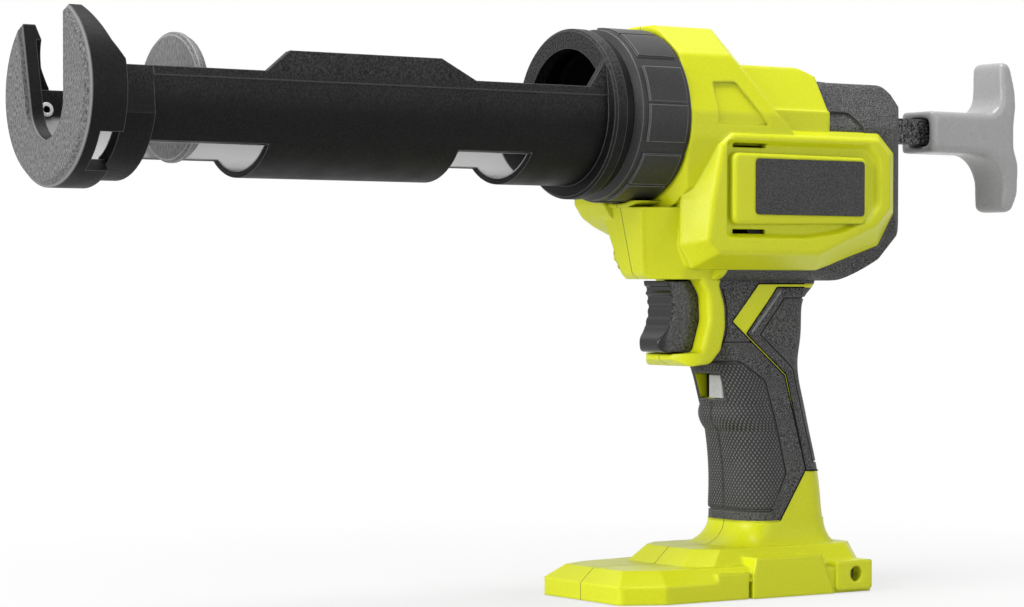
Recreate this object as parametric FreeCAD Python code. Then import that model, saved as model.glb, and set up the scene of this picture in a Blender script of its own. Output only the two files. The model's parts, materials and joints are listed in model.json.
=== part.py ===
import FreeCAD, Part
import math
import os

V = FreeCAD.Vector

# Frame: X runs to the rear, Y to the tool's right side, Z up, in millimetres.
# The origin is on the foot's underside, on the plane where the two housing halves meet.
# A side view is given as (x, z), a cross-section as (y, height above the barrel axis), a plan as (x, y).
# A third number in a corner is its rounding radius.

# General
AXIS_Z = 194.3          # height of the barrel axis over the foot's underside
FIT = 0.3               # gap between bodies that move past each other
RUN = 0.05              # radial gap of a shaft in its bush
SKIN = 2.0              # thickness of the soft charcoal mouldings
WALL = 3.0              # thickness of the lime shell
CRUMB = 100.0           # smallest piece of a moulding, in cubic millimetres

# Cartridge carriage
BAY_R = 26.0            # inside radius of the trough, for a cartridge 50 mm across
BAY_WALL = 2.8
CARRIAGE_ROLL = -7.0    # the carriage turns freely on the body and stands turned by this angle
BAY_TOP = 5.8           # top of the side walls over the axis
HUMP_TOP = 13.7
RAIL_FOOT = 2.6         # the walls are a little thicker from here up
RAIL_RAISE = 0.35
HUMP_X = (-224.6, -214.6, -148.4, -133.4)
WINDOW_EDGE = -19.7     # lower edge of the side walls, where the trough is open below
CRADLE_X = (-221.0, -138.0)
CUP_FRONT_X = -104.0
FRONT_RING_R = 31.0
FRONT_RING_X = (-284.0, -271.0)
REAR_RING_R = 34.0
REAR_RING_X = (-71.5, -66.0)
GUSSET_LENGTH = 8.5
GUSSET_TOP = 17.0
NECK_R = 28.2
GROOVE_R = 32.0

# Front cap
CAP_FRONT_X = -300.0
CAP_R = 34.0
CAP_PLATE = 7.0
CAP_RIM = 5.0           # wall of the skirt behind the plate
CAP_BEVEL = 2.4
SLOT_R = 15.2
SLOT_DROP = 2.0         # the slot's round bottom is centred this far under the axis
SLOT_FLARE = 6.3
PRONG_TOP = 29.0
PRONG_STEP = 4.0
RIVET_R = 2.7
RIVET_BORE = 1.3
RIVET_X = -286.9
RIVET_DROP = 1.6
RIVET_SKIN = 1.2        # cap left over the rivet's outer end, and the rivet's stand inside the trough
CAP_WINDOW = (33.0, 63.0)   # angles below the horizontal

# Collar and nose
COLLAR_X = (-61.0, -34.9)
COLLAR_R = 34.2
COLLAR_BEVEL = 2.5
COLLAR_LIP = 1.4
PAD_COUNT = 6
PAD_RAISE = 0.9
PAD_ANGLE = 51.0
PAD_GROOVE = 1.3        # slit that halves each pad
PAD_START = 84.0        # angle of the first pad from the top
PAD_X = (-55.5, -37.0)
NOSE_R = 29.6
NOSE_WALL = 3.0
NOSE_FLANGE = 1.8
FLANGE_THICK = 3.0
GUIDE_THICK = 6.0

# Push rod, plunger and pull handle
ROD_WIDTH = 8.0
ROD_TOP = 3.9           # top of the rod over the axis
ROD_X = (-234.0, 132.0)
RACK_MODULE = 1.5
RACK_ADDENDUM = 0.85    # tooth tip over the pitch line, in modules
RACK_DEDENDUM = 1.3     # tooth root under the pitch line, in modules
TOOTH_SHARE = 0.43      # tooth thickness at the pitch line as a share of the pitch
PRESSURE_ANGLE = 20.0
RACK_PITCH_DROP = 5.6   # pitch line of the rack under the axis
RACK_X = (-206.0, 80.0)
PLUNGER_FRONT_X = -250.0
PLUNGER_R = 24.0
DISC_THICK = 2.3
DISC_RIM = 1.2
CONE_LENGTH = 14.0
CONE_R = 17.0
HANDLE_FRONT_X = 115.0
HANDLE_WIDTH = 21.0
HANDLE_WALL = 3.0
HANDLE_ROUND = 2.4
HANDLE_SHAFT = 18.0
HANDLE_DROP = 1.6       # the handle's shaft is centred this far under the axis
HANDLE_PIN_R = 2.0

# Gear train: every axis runs along Y
PINION_X = 12.0
PINION_TEETH = 12
PINION_WIDTH = 9.0
SHAFT_R = 4.0
GEAR_MODULE = 1.0
OUTPUT_TEETH = 44
OUTPUT_Y = (8.5, 14.5)
IDLER_TEETH = 12
IDLER_ANGLE = -52.0
FAST_MODULE = 0.8
WHEEL_TEETH = 40
WHEEL_Y = (15.5, 20.5)
MOTOR_TEETH = 10
MOTOR_ANGLE = 190.0
IDLER_PIN_R = 2.5
MOTOR_SHAFT_R = 1.6
MOTOR_R = 15.0
MOTOR_LENGTH = 34.5
MOTOR_WALL = 1.6
END_CAP = 3.0
ARMATURE_R = 11.0
PLATE_THICK = 1.8
MOTOR_PLATE_Y = 5.5
COVER_Y = 21.2
BUSH_WALL = 2.0
PILLAR_R = 2.5
PILLARS = [(-12, 170), (48, 163), (13, 144.5)]

# Lime body
BODY_FRONT_X = -34.7
BAND_REAR_X = 34.0
DRUM_REAR_X = -16.0
BLOCK_X = (-6.0, 43.0)
BODY_REAR_X = 88.5
BODY_HALF = 27.0
REAR_CORNER = 14.0
POD_ROOT_Y = 24.0
POD_FACE_Y = 36.5
POD_EDGE_R = 2.2
POD_PANEL_DEPTH = 2.6
PLATE_RAISE = 1.0       # the pod's middle plate stands this far over its frame
PLATE_ROUND = 1.6       # rounding of the plate's edge
BADGE_THICK = 1.0
BADGE_SUNK = 0.5
GUARD_HALF = 15.9
GUARD_TIP = 3.0            # half width left flat at the guard's front
CHIN_TIP_X = -46.0
CHIN_HALF = 23.0
CHIN_RIM = 1.6
GUARD_ROUND = 2.0
LEDGE_Z = 156.8          # top of the trigger housing's front, under the chin
LOBE_Y = (6.0, 26.0)     # the right half's rounded lobe beside the trigger housing
CAVITY_HALF = 31.0

# Trigger and lock
TRIGGER_HALF = 8.5
TRIGGER_ROUND = 7.0
TRIGGER_TRAVEL = 6.0
LOCK_Z = (79.5, 90.0)
LOCK_HALF = 8.4         # half the window's width
LOCK_WIDTH = 8.6
LOCK_DEPTH = 6.0

# Foot and battery socket
FOOT_HALF = 34.0
SOCKET_X = (17.0, 42.5)
SOCKET_HALF = 11.5
SOCKET_TOP = 58.0
MOUTH_GROW = 2.5
MOUTH_DEPTH = 14.0
TERMINAL_THICK = 7.0
BLADE_COUNT = 3
BLADE_PITCH = 7.0
BLADE_DROP = 12.0
SCREW_HEAD_R = 3.2
SCREW_HEAD = 2.4
SCREW_R = 1.6
SCREW_LENGTH = 14.0

# Outlines of the lime body
BAND_SECTION = [(-9, 36.8, 5), (9, 36.8, 5), (26, 24.5, 4), (34.6, 1, 6), (34.6, -10, 10), (25, -37.6, 6),
                (-25, -37.6, 6), (-34.6, -10, 10), (-34.6, 1, 6), (-26, 24.5, 4)]
BAND_CUT_POINT = (4.0, 0.0, 230.0)
BAND_CUT_NORMAL = (0.568, -0.538, 0.622)
BLOCK_SECTION = [(-15, 22.3, 3), (15, 22.3, 3), (25.6, 4.2, 2), (27, 3.4, 0), (27, -40, 3), (-27, -40, 3),
                 (-27, 3.4, 0), (-25.6, 4.2, 2)]
BLOCK_SLOPE = [(34.5, 216.7, 0), (60, 205.6, 0), (60, 234, 0), (34.5, 234, 0)]
CAP_SECTION = [(-15, 17.2, 6), (15, 17.2, 6), (26.4, -2, 6), (27, -20, 6), (24, -66, 10), (-24, -66, 10),
               (-27, -20, 6), (-26.4, -2, 6)]
CORE_SIDE = [(-10, 208, 0), (30, 212, 6), (40, 214.6, 6), (45, 212.2, 3), (52, 211, 4), (81, 211, 4),
             (84.6, 207, 3), (87.6, 197, 8), (88.5, 186, 8), (87.5, 160, 10), (83, 149, 8), (72, 137.5, 6),
             (56, 128.6, 4), (40, 127, 0), (-10, 128.6, 0)]
POD_ROOT = [(-13, 190.5), (-24, 183.5), (-32.6, 160), (-33, 142), (-27, 132.5), (38, 132.5), (72, 142.5),
            (81, 156.5), (81, 182), (72, 190.5)]
POD_FACE = [(-15.5, 186.8), (-20.5, 182.5), (-25, 160), (-28, 144), (-22, 139), (30, 139), (61, 151.5),
            (68, 158.5), (68, 180.5), (61, 186.8)]
POD_INNER = [(-14, 190, 0), (-23, 183, 0), (-29.5, 160, 0), (-28, 142, 4), (-23.5, 133, 3), (38, 133, 0),
             (70, 143, 0), (70, 190, 0)]
POD_PANEL = [(-18.4, 184.6, 2), (-18.4, 145, 2), (24, 145, 4), (42, 147.4, 4), (57.5, 153.2, 3),
             (63, 159.5, 3), (63, 178.5, 3), (57, 184.6, 2)]
POD_PANEL_BED = [(-16.4, 182.6, 2), (-16.4, 147, 2), (24, 147, 4), (41.6, 149.4, 4), (56.2, 154.9, 3),
                 (61, 160.3, 3), (61, 177.6, 3), (56, 182.6, 2)]
POD_PLATE = [(-15.5, 179.5, 3), (-15.5, 150.7, 3), (54.6, 151.8, 3), (54.6, 179, 3)]
BADGE_OUTLINE = [(-4.5, 177.2, 1.6), (-4.5, 154.8, 1.6), (52.6, 154.8, 1.6), (52.6, 177.2, 1.6)]
VENT_X = (-13.6, 3.4)
VENT_Z = ((181.6, 183.4), (147.0, 148.8))
BAND_PANEL_SHARE = 0.965   # the panel's floor is the band's section drawn in by this share
BAND_PANEL = [(-21, 207.5, 1), (-9, 208, 3), (4.5, 190.8, 0), (-21, 190.8, 0)]
NOSE_SIDE = [(-44.4, 157.5, 0), (-38.2, 130.6, 4), (-35, 128.6, 1), (40, 127.6, 0), (40, 166, 0),
             (-30, 166, 0), (-30, 157.5, 0)]
GUARD_SIDE = [(-17, 131, 0), (-11.2, 122, 8), (-10.6, 112, 10), (-14.6, 99, 3), (-24.5, 98.2, 1),
              (-24.5, 96, 1), (-19, 93.2, 4), (-9.5, 94.2, 5), (-4.2, 99.6, 4), (-1.8, 109, 12),
              (-2.2, 118, 12), (-5, 126.4, 2), (-3, 131, 0)]
NOSE_PLAN_LOW = [(-46, -5, 0), (-37, -7, 6), (-24, -14.5, 8), (0, -17, 0), (0, 17, 0), (-24, 14.5, 8),
                 (-37, 7, 6), (-46, 5, 0)]
NOSE_PLAN_HIGH = [(-46, -12.5, 0), (-42, -14.2, 5), (-24, -24.5, 8), (0, -24.5, 0), (0, 24.5, 0),
                  (-24, 24.5, 8), (-42, 14.2, 5), (-46, 12.5, 0)]
LOBE_SIDE = [(-48.6, 170, 0), (-48.4, 159, 3), (-44.6, 153.6, 8), (-38.6, 150, 10), (-31.6, 147, 0),
             (-24, 144.6, 0), (-16, 152, 0), (-16, 170, 0)]
RIGHT_POD_TRIM = [(-45, 22), (-31.4, 22), (-17.8, 40), (-45, 40)]   # plan of the right pod's slanting front
POD_HOLLOW = [(-12, 182.6), (-19, 150), (-14, 143), (28, 143), (58, 156), (62, 161), (62, 177), (57, 182.6)]
CORE_HOLLOW = [(-17, 183), (-22, 150), (-18, 138.6), (30, 138.6), (54, 148), (61, 160), (61, 183)]
PLATE_SIDE = [(-8, 187, 5), (-15.5, 172, 3), (-15.5, 166, 3), (2, 142, 5), (24, 139.6, 4), (51.5, 158, 4),
              (51.5, 168, 4), (30, 187, 6)]
CORE_HOLLOW_HALF = 24.5

GRIP_LEVELS = 12
# Grip stations: height, front, back, half width, corner radius
GRIP = [(131, -9, 48, 15.5, 7), (118, -8.6, 42.2, 15.5, 7), (104, -7, 41.8, 15.5, 8.5),
        (92, -1.5, 41.8, 16, 12), (80, 2.4, 44.6, 16.3, 12.5), (66, 6.6, 47.8, 16.8, 12.5),
        (48, 9.3, 51.8, 17.4, 12), (24, 9.6, 54, 18, 11)]
SLEEVE_SIDE = [(-40, 140), (-40, 28.5), (24.4, 28.5), (39, 50), (28.5, 89), (7.4, 106.4), (1.2, 111.4),
               (15.2, 127), (62, 127), (62, 140)]
STRAP_SIDE = [(25, 125.4), (62, 125.4), (62, 49.5), (39.2, 49.5), (29.4, 89.4), (8.8, 106.4)]
PALM_PANEL = [(-40, 95.4, 0), (5, 95.6, 3), (18.6, 87.3, 3), (24.2, 68.7, 3), (28.9, 48.7, 2),
              (20.3, 32.7, 2), (-40, 34.2, 0)]
SLEEVE_STEP = [(-40, 102.6, 0), (80, 102.6, 0), (80, 160, 0), (-40, 160, 0)]
STRAP_PANEL = [(28.5, 121.5, 0), (80, 121.5, 0), (80, 52.5, 0), (43.4, 52.5, 0), (33.2, 91.4, 3),
               (15.6, 106, 0)]
# Low ridge under the lock button: height, and how far it stands out of the grip's front
FINGER_RIDGE = [(77.2, -0.4), (72.8, 1.9), (66, -0.4)]
FINGER_INSET = 1.0
SEAM_WIDTH = 0.8
SEAM_DEPTH = 0.7
CAP_RECESS = [(30, 184, 0), (30, 198.4, 0), (57, 198.4, 6), (62.5, 192, 2), (62.5, 184, 0)]
REAR_SEAM = [(46, 216), (40.5, 200), (38.5, 196), (42, 190), (42, 134), (-7, 134), (-7, 122), (110, 122),
             (110, 216)]

# Foot outlines: plan at the floor, then the raised steps
FOOT_PLAN = [(-63.5, -26, 3), (-46, -FOOT_HALF, 3), (60, -FOOT_HALF, 2), (65, -28, 2), (65, 28, 2),
             (60, FOOT_HALF, 2), (-46, FOOT_HALF, 3), (-63.5, 26, 3)]
WEDGE_TOP = [(-57, -19, 0), (-43, -25.5, 0), (-8, -30.5, 0), (0, -30.5, 0), (0, 30.5, 0), (-8, 30.5, 0),
             (-43, 25.5, 0), (-57, 19, 0)]
STEP_LOW = [(-31, -20, 0), (-21, -29, 0), (57, -31, 0), (64, -24, 0), (64, 24, 0), (57, 31, 0), (-21, 29, 0),
            (-31, 20, 0)]
STEP_HIGH = [(-19, -15, 0), (-10, -22.2, 0), (55, -23.6, 0), (61.4, -18, 0), (61.4, 18, 0), (55, 23.6, 0),
             (-10, 22.2, 0), (-19, 15, 0)]
LIP_Z = 7.0
WEDGE_Z = 12.8
STEP_Z = 19.4
SIDE_Z = 10.8
SIDE_X = (-20.0, 62.0)
BLOCK_SIDE = [(-2.5, 0, 0), (-2.5, 10, 2), (-1, 16.4, 1), (32.5, 16.4, 1), (39.8, 0, 0)]
TAIL_SIDE = [(41, 1.2, 1), (41, 12.8, 1), (59.4, 13.2, 1), (59.4, 1.2, 1)]
SIDE_RAISE = 1.0
TAIL_RAISE = 1.6
NOTCH_X = (-4.4, -2.4)
NOTCH_DEPTH = 5.0
FLARE_TOP = 29.5
FLARE_X = 15.0           # reach of the sweep in front of the grip
FLARE_Y = 4.2
FLARE_BACK = 7.0
FLARE_LEVELS = 6

# Trigger side outline and the pull handle's
TRIGGER_SIDE = [(-26.5, 128, 0), (-23.6, 116, 14), (-26.2, 107.5, 8), (-30.6, 103.4, 3), (-28.4, 98.9, 3),
                (-6, 98.6, 0), (-2, 108, 0), (-2, 128, 0)]
TRIGGER_GROOVES = [(-24.6, 124.4), (-24.0, 120.9), (-23.6, 117.4), (-23.9, 113.9), (-25.0, 110.4)]
GROOVE_ROUND = 1.5
SWITCH_X = (8.0, 31.0)
SWITCH_Z = (98.0, 122.0)
SWITCH_HALF = 10.2
STEM_R = 2.4
STEM_Z = 112.0
BOARD_X = (22.0, 23.6)
BOARD_HEIGHT = 26.0
BOARD_HALF = 9.0
HANDLE_SIDE = [(156.4, 224.5, 2.6), (161.6, 224.5, 2.5), (164.8, 213, 6), (165.3, 205, 4), (164.2, 197, 6),
               (164.2, 187, 6), (166.8, 180, 4), (166.8, 167, 4), (163.6, 158.6, 2.8), (157.4, 158.6, 3),
               (158, 183.7, 14), (HANDLE_FRONT_X, 183.7, 0), (HANDLE_FRONT_X, 201.7, 0), (156.6, 201.7, 9)]
# The handle seen from behind: y, height over the axis
HANDLE_BACK = [(-9, 30.2, 3), (9, 30.2, 3), (10.5, 7.4, 8), (10.5, -10.6, 8), (8.8, -35.7, 3),
               (-8.8, -35.7, 3), (-10.5, -10.6, 8), (-10.5, 7.4, 8)]
# Screws: x, z, how far the head stands from the middle plane, and on which side
SCREWS = [(-27, 137, 12, 1), (66, 170, 34, 1), (48, 34, 14, 1), (51, 7.6, 30, 1), (51, 7.6, 30, -1)]


def outline(corners, place):
    """Closed wire through corners (a, b, radius), with arcs at the rounded ones; place(a, b) is the point."""
    flat = [(V(c[0], c[1], 0), c[2] if len(c) > 2 else 0) for c in corners]
    edges = []
    stops = []
    for i, (point, radius) in enumerate(flat):
        back = (flat[i - 1][0] - point).normalize()
        ahead = (flat[(i + 1) % len(flat)][0] - point).normalize()
        half = back.getAngle(ahead) / 2
        run = radius / math.tan(half)
        inward = (back + ahead)
        if radius:
            inward.normalize()
            middle = point + inward * (radius / math.sin(half) - radius)
            stops.append((point + back * run, middle, point + ahead * run))
        else:
            stops.append((point, None, point))
    for i, (start, middle, end) in enumerate(stops):
        if middle is not None:
            edges.append(Part.Arc(place(*start[:2]), place(*middle[:2]), place(*end[:2])).toShape())
        following = stops[(i + 1) % len(stops)][0]
        if end.distanceToPoint(following) > 1e-6:
            edges.append(Part.LineSegment(place(*end[:2]), place(*following[:2])).toShape())
    return Part.Wire(edges)


def side_prism(corners, y_low, y_high):
    """Side-view outline carried across the tool."""
    face = Part.Face(outline(corners, lambda x, z: V(x, y_low, z)))
    return face.extrude(V(0, y_high - y_low, 0))


def section_prism(corners, x_low, x_high):
    """Cross-section about the barrel axis carried along the tool."""
    face = Part.Face(outline(corners, lambda y, h: V(x_low, y, AXIS_Z + h)))
    return face.extrude(V(x_high - x_low, 0, 0))


def plan_prism(corners, z_low, z_high):
    """Plan outline carried upwards."""
    face = Part.Face(outline(corners, lambda x, y: V(x, y, z_low)))
    return face.extrude(V(0, 0, z_high - z_low))


def plan_loft(stations):
    """Straight-sided loft through plan outlines at their heights."""
    wires = [outline(corners, lambda x, y, z=z: V(x, y, z)) for corners, z in stations]
    return Part.makeLoft(wires, True, True)


def turned(profile):
    """Solid of revolution about the barrel axis from (x, radius) points."""
    wire = Part.makePolygon([V(x, 0, AXIS_Z + r) for x, r in profile + profile[:1]])
    return Part.Face(wire).revolve(V(0, 0, AXIS_Z), V(1, 0, 0), 360)


def tube(x_low, x_high, r_in, r_out):
    """Round tube about the barrel axis."""
    return turned([(x_low, r_in), (x_high, r_in), (x_high, r_out), (x_low, r_out)])


def rod_y(x, z, radius, y_low, y_high):
    """Round bar across the tool."""
    return Part.makeCylinder(radius, y_high - y_low, V(x, y_low, z), V(0, 1, 0))


def block(x, y, z):
    """Box from its three (low, high) ranges."""
    return Part.makeBox(x[1] - x[0], y[1] - y[0], z[1] - z[0], V(x[0], y[0], z[0]))


def mirrored(shape):
    """The same shape on the other side of the middle plane."""
    return shape.mirror(V(0, 0, 0), V(0, 1, 0))


def both(shape):
    """A shape with its mirror image."""
    return shape.fuse(mirrored(shape))


def joined(shapes):
    """One clean solid from shapes that touch or overlap."""
    return shapes[0].multiFuse(shapes[1:]).removeSplitter()


def half_space(point, normal):
    """A very thick disc that fills the space on the normal's side of a plane."""
    reach = 300.0
    return Part.makeCylinder(reach, reach, V(*point), V(*normal))


def rolled(shape):
    """Turns a carriage piece to the angle at which it stands."""
    return shape.rotate(V(0, 0, AXIS_Z), V(1, 0, 0), CARRIAGE_ROLL)


def trough(radius, top, x_low, x_high):
    """U section: half a circle under the axis and upright sides above it."""
    place = lambda y, h: V(x_low, y, AXIS_Z + h)
    bowl = Part.Arc(place(-radius, 0), place(0, -radius), place(radius, 0)).toShape()
    walls = Part.makePolygon([place(radius, 0), place(radius, top), place(-radius, top), place(-radius, 0)])
    return Part.Face(Part.Wire([bowl] + walls.Edges)).extrude(V(x_high - x_low, 0, 0))


def cartridge_frame():
    """Open trough with a front ring, a humped middle cradle, a rear cup and the ring the collar holds."""
    outer_r = BAY_R + BAY_WALL
    rail_half = outer_r + RAIL_RAISE
    x_low, x_high = FRONT_RING_X[0], REAR_RING_X[0]
    shell = trough(outer_r, BAY_TOP, x_low, x_high)
    ring_half = outer_r + RUN
    front_ring = trough(FRONT_RING_R, BAY_TOP, *FRONT_RING_X)
    shell = shell.fuse(front_ring.common(block(FRONT_RING_X, (-ring_half, ring_half), (0, 2 * AXIS_Z))))
    hump = side_prism([(HUMP_X[0], AXIS_Z + BAY_TOP), (HUMP_X[1], AXIS_Z + HUMP_TOP),
                       (HUMP_X[2], AXIS_Z + HUMP_TOP), (HUMP_X[3], AXIS_Z + BAY_TOP)], -rail_half, rail_half)
    rail = block((FRONT_RING_X[1], x_high), (-rail_half, rail_half), (AXIS_Z + RAIL_FOOT, AXIS_Z + BAY_TOP))
    gusset = side_prism([(x_high - GUSSET_LENGTH, AXIS_Z + BAY_TOP), (x_high, AXIS_Z + GUSSET_TOP),
                         (x_high, AXIS_Z + BAY_TOP)], -rail_half, rail_half)
    spigot_x = CAP_FRONT_X + CAP_PLATE + FIT
    spigot_r = CAP_R - CAP_RIM - FIT / 2
    spigot = trough(spigot_r, BAY_TOP, spigot_x, x_low).common(tube(spigot_x, x_low, 0, spigot_r))
    spigot_floor = AXIS_Z - BAY_R * math.sin(math.radians(CAP_WINDOW[0]))
    spigot = spigot.cut(block((spigot_x, x_low), (-CAP_R, CAP_R), (0, spigot_floor)))
    shell = joined([shell, rail, hump, gusset, spigot])
    shell = shell.cut(trough(BAY_R, HUMP_TOP + GUSSET_TOP, spigot_x, x_high))
    edge_z = AXIS_Z + WINDOW_EDGE
    for x_range in ((FRONT_RING_X[1], CRADLE_X[0]), (CRADLE_X[1], CUP_FRONT_X)):
        shell = shell.cut(block(x_range, (-CAP_R, CAP_R), (0, edge_z)))
    flange_x = neck_end_x()
    ring = turned([(REAR_RING_X[0], BAY_R), (flange_x, BAY_R), (flange_x, NOSE_R),
                   (flange_x - FLANGE_THICK + COLLAR_LIP / 2, NOSE_R),
                   (flange_x - FLANGE_THICK + COLLAR_LIP / 2, NECK_R), (COLLAR_X[0] - FIT, NECK_R),
                   (COLLAR_X[0] - FIT, GROOVE_R), (REAR_RING_X[1], GROOVE_R), (REAR_RING_X[1], REAR_RING_R),
                   (REAR_RING_X[0] + 1.0, REAR_RING_R), (REAR_RING_X[0], REAR_RING_R - 1.0)])
    return rolled(joined([shell, ring]).cut(rivet_bar()))


def neck_end_x():
    """Rear end of the carriage's neck, just in front of the nose ring."""
    return COLLAR_X[0] + COLLAR_LIP + FIT + FLANGE_THICK - COLLAR_LIP / 2


def front_cap():
    """Round plate with a slot for the nozzle, open at the top, and a skirt with two windows below."""
    rear_x = FRONT_RING_X[0]
    plate_x = CAP_FRONT_X + CAP_PLATE
    cap = turned([(CAP_FRONT_X, 0), (CAP_FRONT_X, CAP_R - CAP_BEVEL), (CAP_FRONT_X + CAP_BEVEL, CAP_R),
                  (rear_x, CAP_R), (rear_x, CAP_R - CAP_RIM), (plate_x, CAP_R - CAP_RIM), (plate_x, 0)])
    flare = math.radians(SLOT_FLARE)
    side_y = SLOT_R * math.cos(flare)
    side_h = -SLOT_DROP - SLOT_R * math.sin(flare)
    top_y = side_y + (CAP_R - side_h) * math.tan(flare)
    place = lambda y, h: V(CAP_FRONT_X, y, AXIS_Z + h)
    bottom = Part.Arc(place(-side_y, side_h), place(0, -SLOT_DROP - SLOT_R), place(side_y, side_h)).toShape()
    sides = Part.makePolygon([place(side_y, side_h), place(top_y, CAP_R), place(-top_y, CAP_R),
                              place(-side_y, side_h)])
    slot = Part.Face(Part.Wire([bottom] + sides.Edges)).extrude(V(rear_x - CAP_FRONT_X, 0, 0))
    cap = cap.cut(slot)
    cap = cap.cut(block((CAP_FRONT_X, rear_x), (-CAP_R, CAP_R), (AXIS_Z + PRONG_TOP, AXIS_Z + CAP_R)))
    slope = [(rear_x, AXIS_Z + BAY_TOP + 1),
             (rear_x - PRONG_STEP, AXIS_Z + BAY_TOP + 2 * PRONG_STEP, PRONG_STEP),
             (plate_x, AXIS_Z + PRONG_TOP), (rear_x, AXIS_Z + PRONG_TOP)]
    cap = cap.cut(side_prism(slope, -CAP_R, CAP_R))
    reach = 2 * CAP_R
    low, high = (math.radians(a) for a in CAP_WINDOW)
    wedge = [(0, 0)] + [(reach * math.cos(a), -reach * math.sin(a)) for a in (low, high)]
    cap = cap.cut(both(section_prism(wedge, plate_x, rear_x)))
    return rolled(cap.cut(rivet_bar()))


def rivet_bar():
    """Blind bore for the two rivets, right across the cap."""
    reach = CAP_R - RIVET_SKIN
    return rod_y(RIVET_X, AXIS_Z - RIVET_DROP, RIVET_R, -reach, reach)


def cap_rivets():
    """Two hollow pins that hold the cap on the trough."""
    inner_y = BAY_R - RIVET_SKIN
    outer_y = CAP_R - RIVET_SKIN
    rivet = rod_y(RIVET_X, AXIS_Z - RIVET_DROP, RIVET_R, inner_y, outer_y)
    rivet = rivet.cut(rod_y(RIVET_X, AXIS_Z - RIVET_DROP, RIVET_BORE, inner_y, outer_y))
    return rolled(Part.makeCompound([rivet, mirrored(rivet)]))


def lock_collar():
    """Ring nut with raised grip pads that holds the carriage's neck against the nose."""
    bore = NOSE_R + FIT
    lip_x = COLLAR_X[0] + COLLAR_LIP
    ring = turned([(COLLAR_X[0], NECK_R + FIT), (lip_x, NECK_R + FIT), (lip_x, bore), (COLLAR_X[1], bore),
                   (COLLAR_X[1], COLLAR_R), (COLLAR_X[0] + COLLAR_BEVEL, COLLAR_R),
                   (COLLAR_X[0], COLLAR_R - COLLAR_BEVEL)])
    band = tube(PAD_X[0], PAD_X[1], COLLAR_R - PAD_RAISE, COLLAR_R + PAD_RAISE)
    reach = 2 * COLLAR_R
    half = math.radians(PAD_ANGLE / 2)
    wide, high = reach * math.sin(half), reach * math.cos(half)
    wedge = [(0, 0), (wide, high), (-wide, high)]
    pads = []
    for i in range(PAD_COUNT):
        pad = section_prism(wedge, *PAD_X).common(band)
        slit = block(PAD_X, (-PAD_GROOVE / 2, PAD_GROOVE / 2), (AXIS_Z + COLLAR_R, AXIS_Z + reach))
        pad = pad.cut(slit)
        pad.rotate(V(0, 0, AXIS_Z), V(1, 0, 0), PAD_START + 360.0 * i / PAD_COUNT)
        pads.append(pad)
    return joined([ring] + pads)


def nose_ring():
    """Threaded tube on the front of the body that the collar screws on."""
    front_x = neck_end_x() + FIT
    flange_x = BODY_FRONT_X + WALL
    return turned([(front_x, NOSE_R - NOSE_WALL), (flange_x + FLANGE_THICK, NOSE_R - NOSE_WALL),
                   (flange_x + FLANGE_THICK, NOSE_R + NOSE_FLANGE), (flange_x, NOSE_R + NOSE_FLANGE),
                   (flange_x, NOSE_R), (front_x, NOSE_R)])


def rod_passage(x_low, x_high, gap):
    """The space that the toothed rod needs, with a gap round it."""
    half = ROD_WIDTH / 2 + gap
    return block((x_low, x_high), (-half, half), (rack_tip_z() - gap, AXIS_Z + ROD_TOP + gap))


def rack_tip_z():
    """Height of the rack's tooth tips."""
    return AXIS_Z - RACK_PITCH_DROP - RACK_MODULE * RACK_ADDENDUM


def front_rod_guide():
    """Plastic disc in the nose that the rod slides through."""
    x_low = BODY_FRONT_X + WALL
    disc = tube(x_low, x_low + GUIDE_THICK, 0, NOSE_R - NOSE_WALL)
    return disc.cut(rod_passage(x_low, x_low + GUIDE_THICK, FIT))


def rear_rod_guide():
    """Plastic bush in the rear wall that the rod slides through."""
    x_range = (BODY_REAR_X - SKIN - WALL - GUIDE_THICK, BODY_REAR_X - SKIN - WALL)
    bush = rear_guide_block(x_range)
    return bush.cut(rod_passage(x_range[0], x_range[1], FIT))


def rear_guide_block(x_range):
    """Outer form of the rear bush."""
    half = ROD_WIDTH / 2 + WALL
    return block(x_range, (-half, half), (rack_tip_z() - WALL, AXIS_Z + ROD_TOP + WALL))


def push_rod():
    """Rectangular bar with rack teeth along its underside."""
    pitch = math.pi * RACK_MODULE
    pitch_z = AXIS_Z - RACK_PITCH_DROP
    tip_z = rack_tip_z()
    root_z = pitch_z + RACK_MODULE * RACK_DEDENDUM
    slope = math.tan(math.radians(PRESSURE_ANGLE))
    half_pitch = TOOTH_SHARE * pitch / 2
    half_tip = half_pitch - (pitch_z - tip_z) * slope
    half_root = half_pitch + (root_z - pitch_z) * slope
    first = math.ceil((RACK_X[0] - PINION_X) / pitch - 0.5) + 0.5
    last = math.floor((RACK_X[1] - PINION_X) / pitch - 0.5) + 0.5
    points = [(ROD_X[0], AXIS_Z + ROD_TOP), (ROD_X[0], tip_z)]
    middle = PINION_X + first * pitch
    points.append((middle - pitch + half_tip, tip_z))
    for i in range(int(last - first) + 1):
        middle = PINION_X + (first + i) * pitch
        points += [(middle - pitch + half_root, root_z), (middle - half_root, root_z),
                   (middle - half_tip, tip_z),
                   (middle + half_tip, tip_z)]
    points += [(middle + half_root, root_z), (middle + pitch - half_root, root_z),
               (middle + pitch - half_tip, tip_z)]
    points += [(ROD_X[1], tip_z), (ROD_X[1], AXIS_Z + ROD_TOP)]
    rod = side_prism(points, -ROD_WIDTH / 2, ROD_WIDTH / 2)
    return rod.cut(handle_pin_bar())


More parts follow.
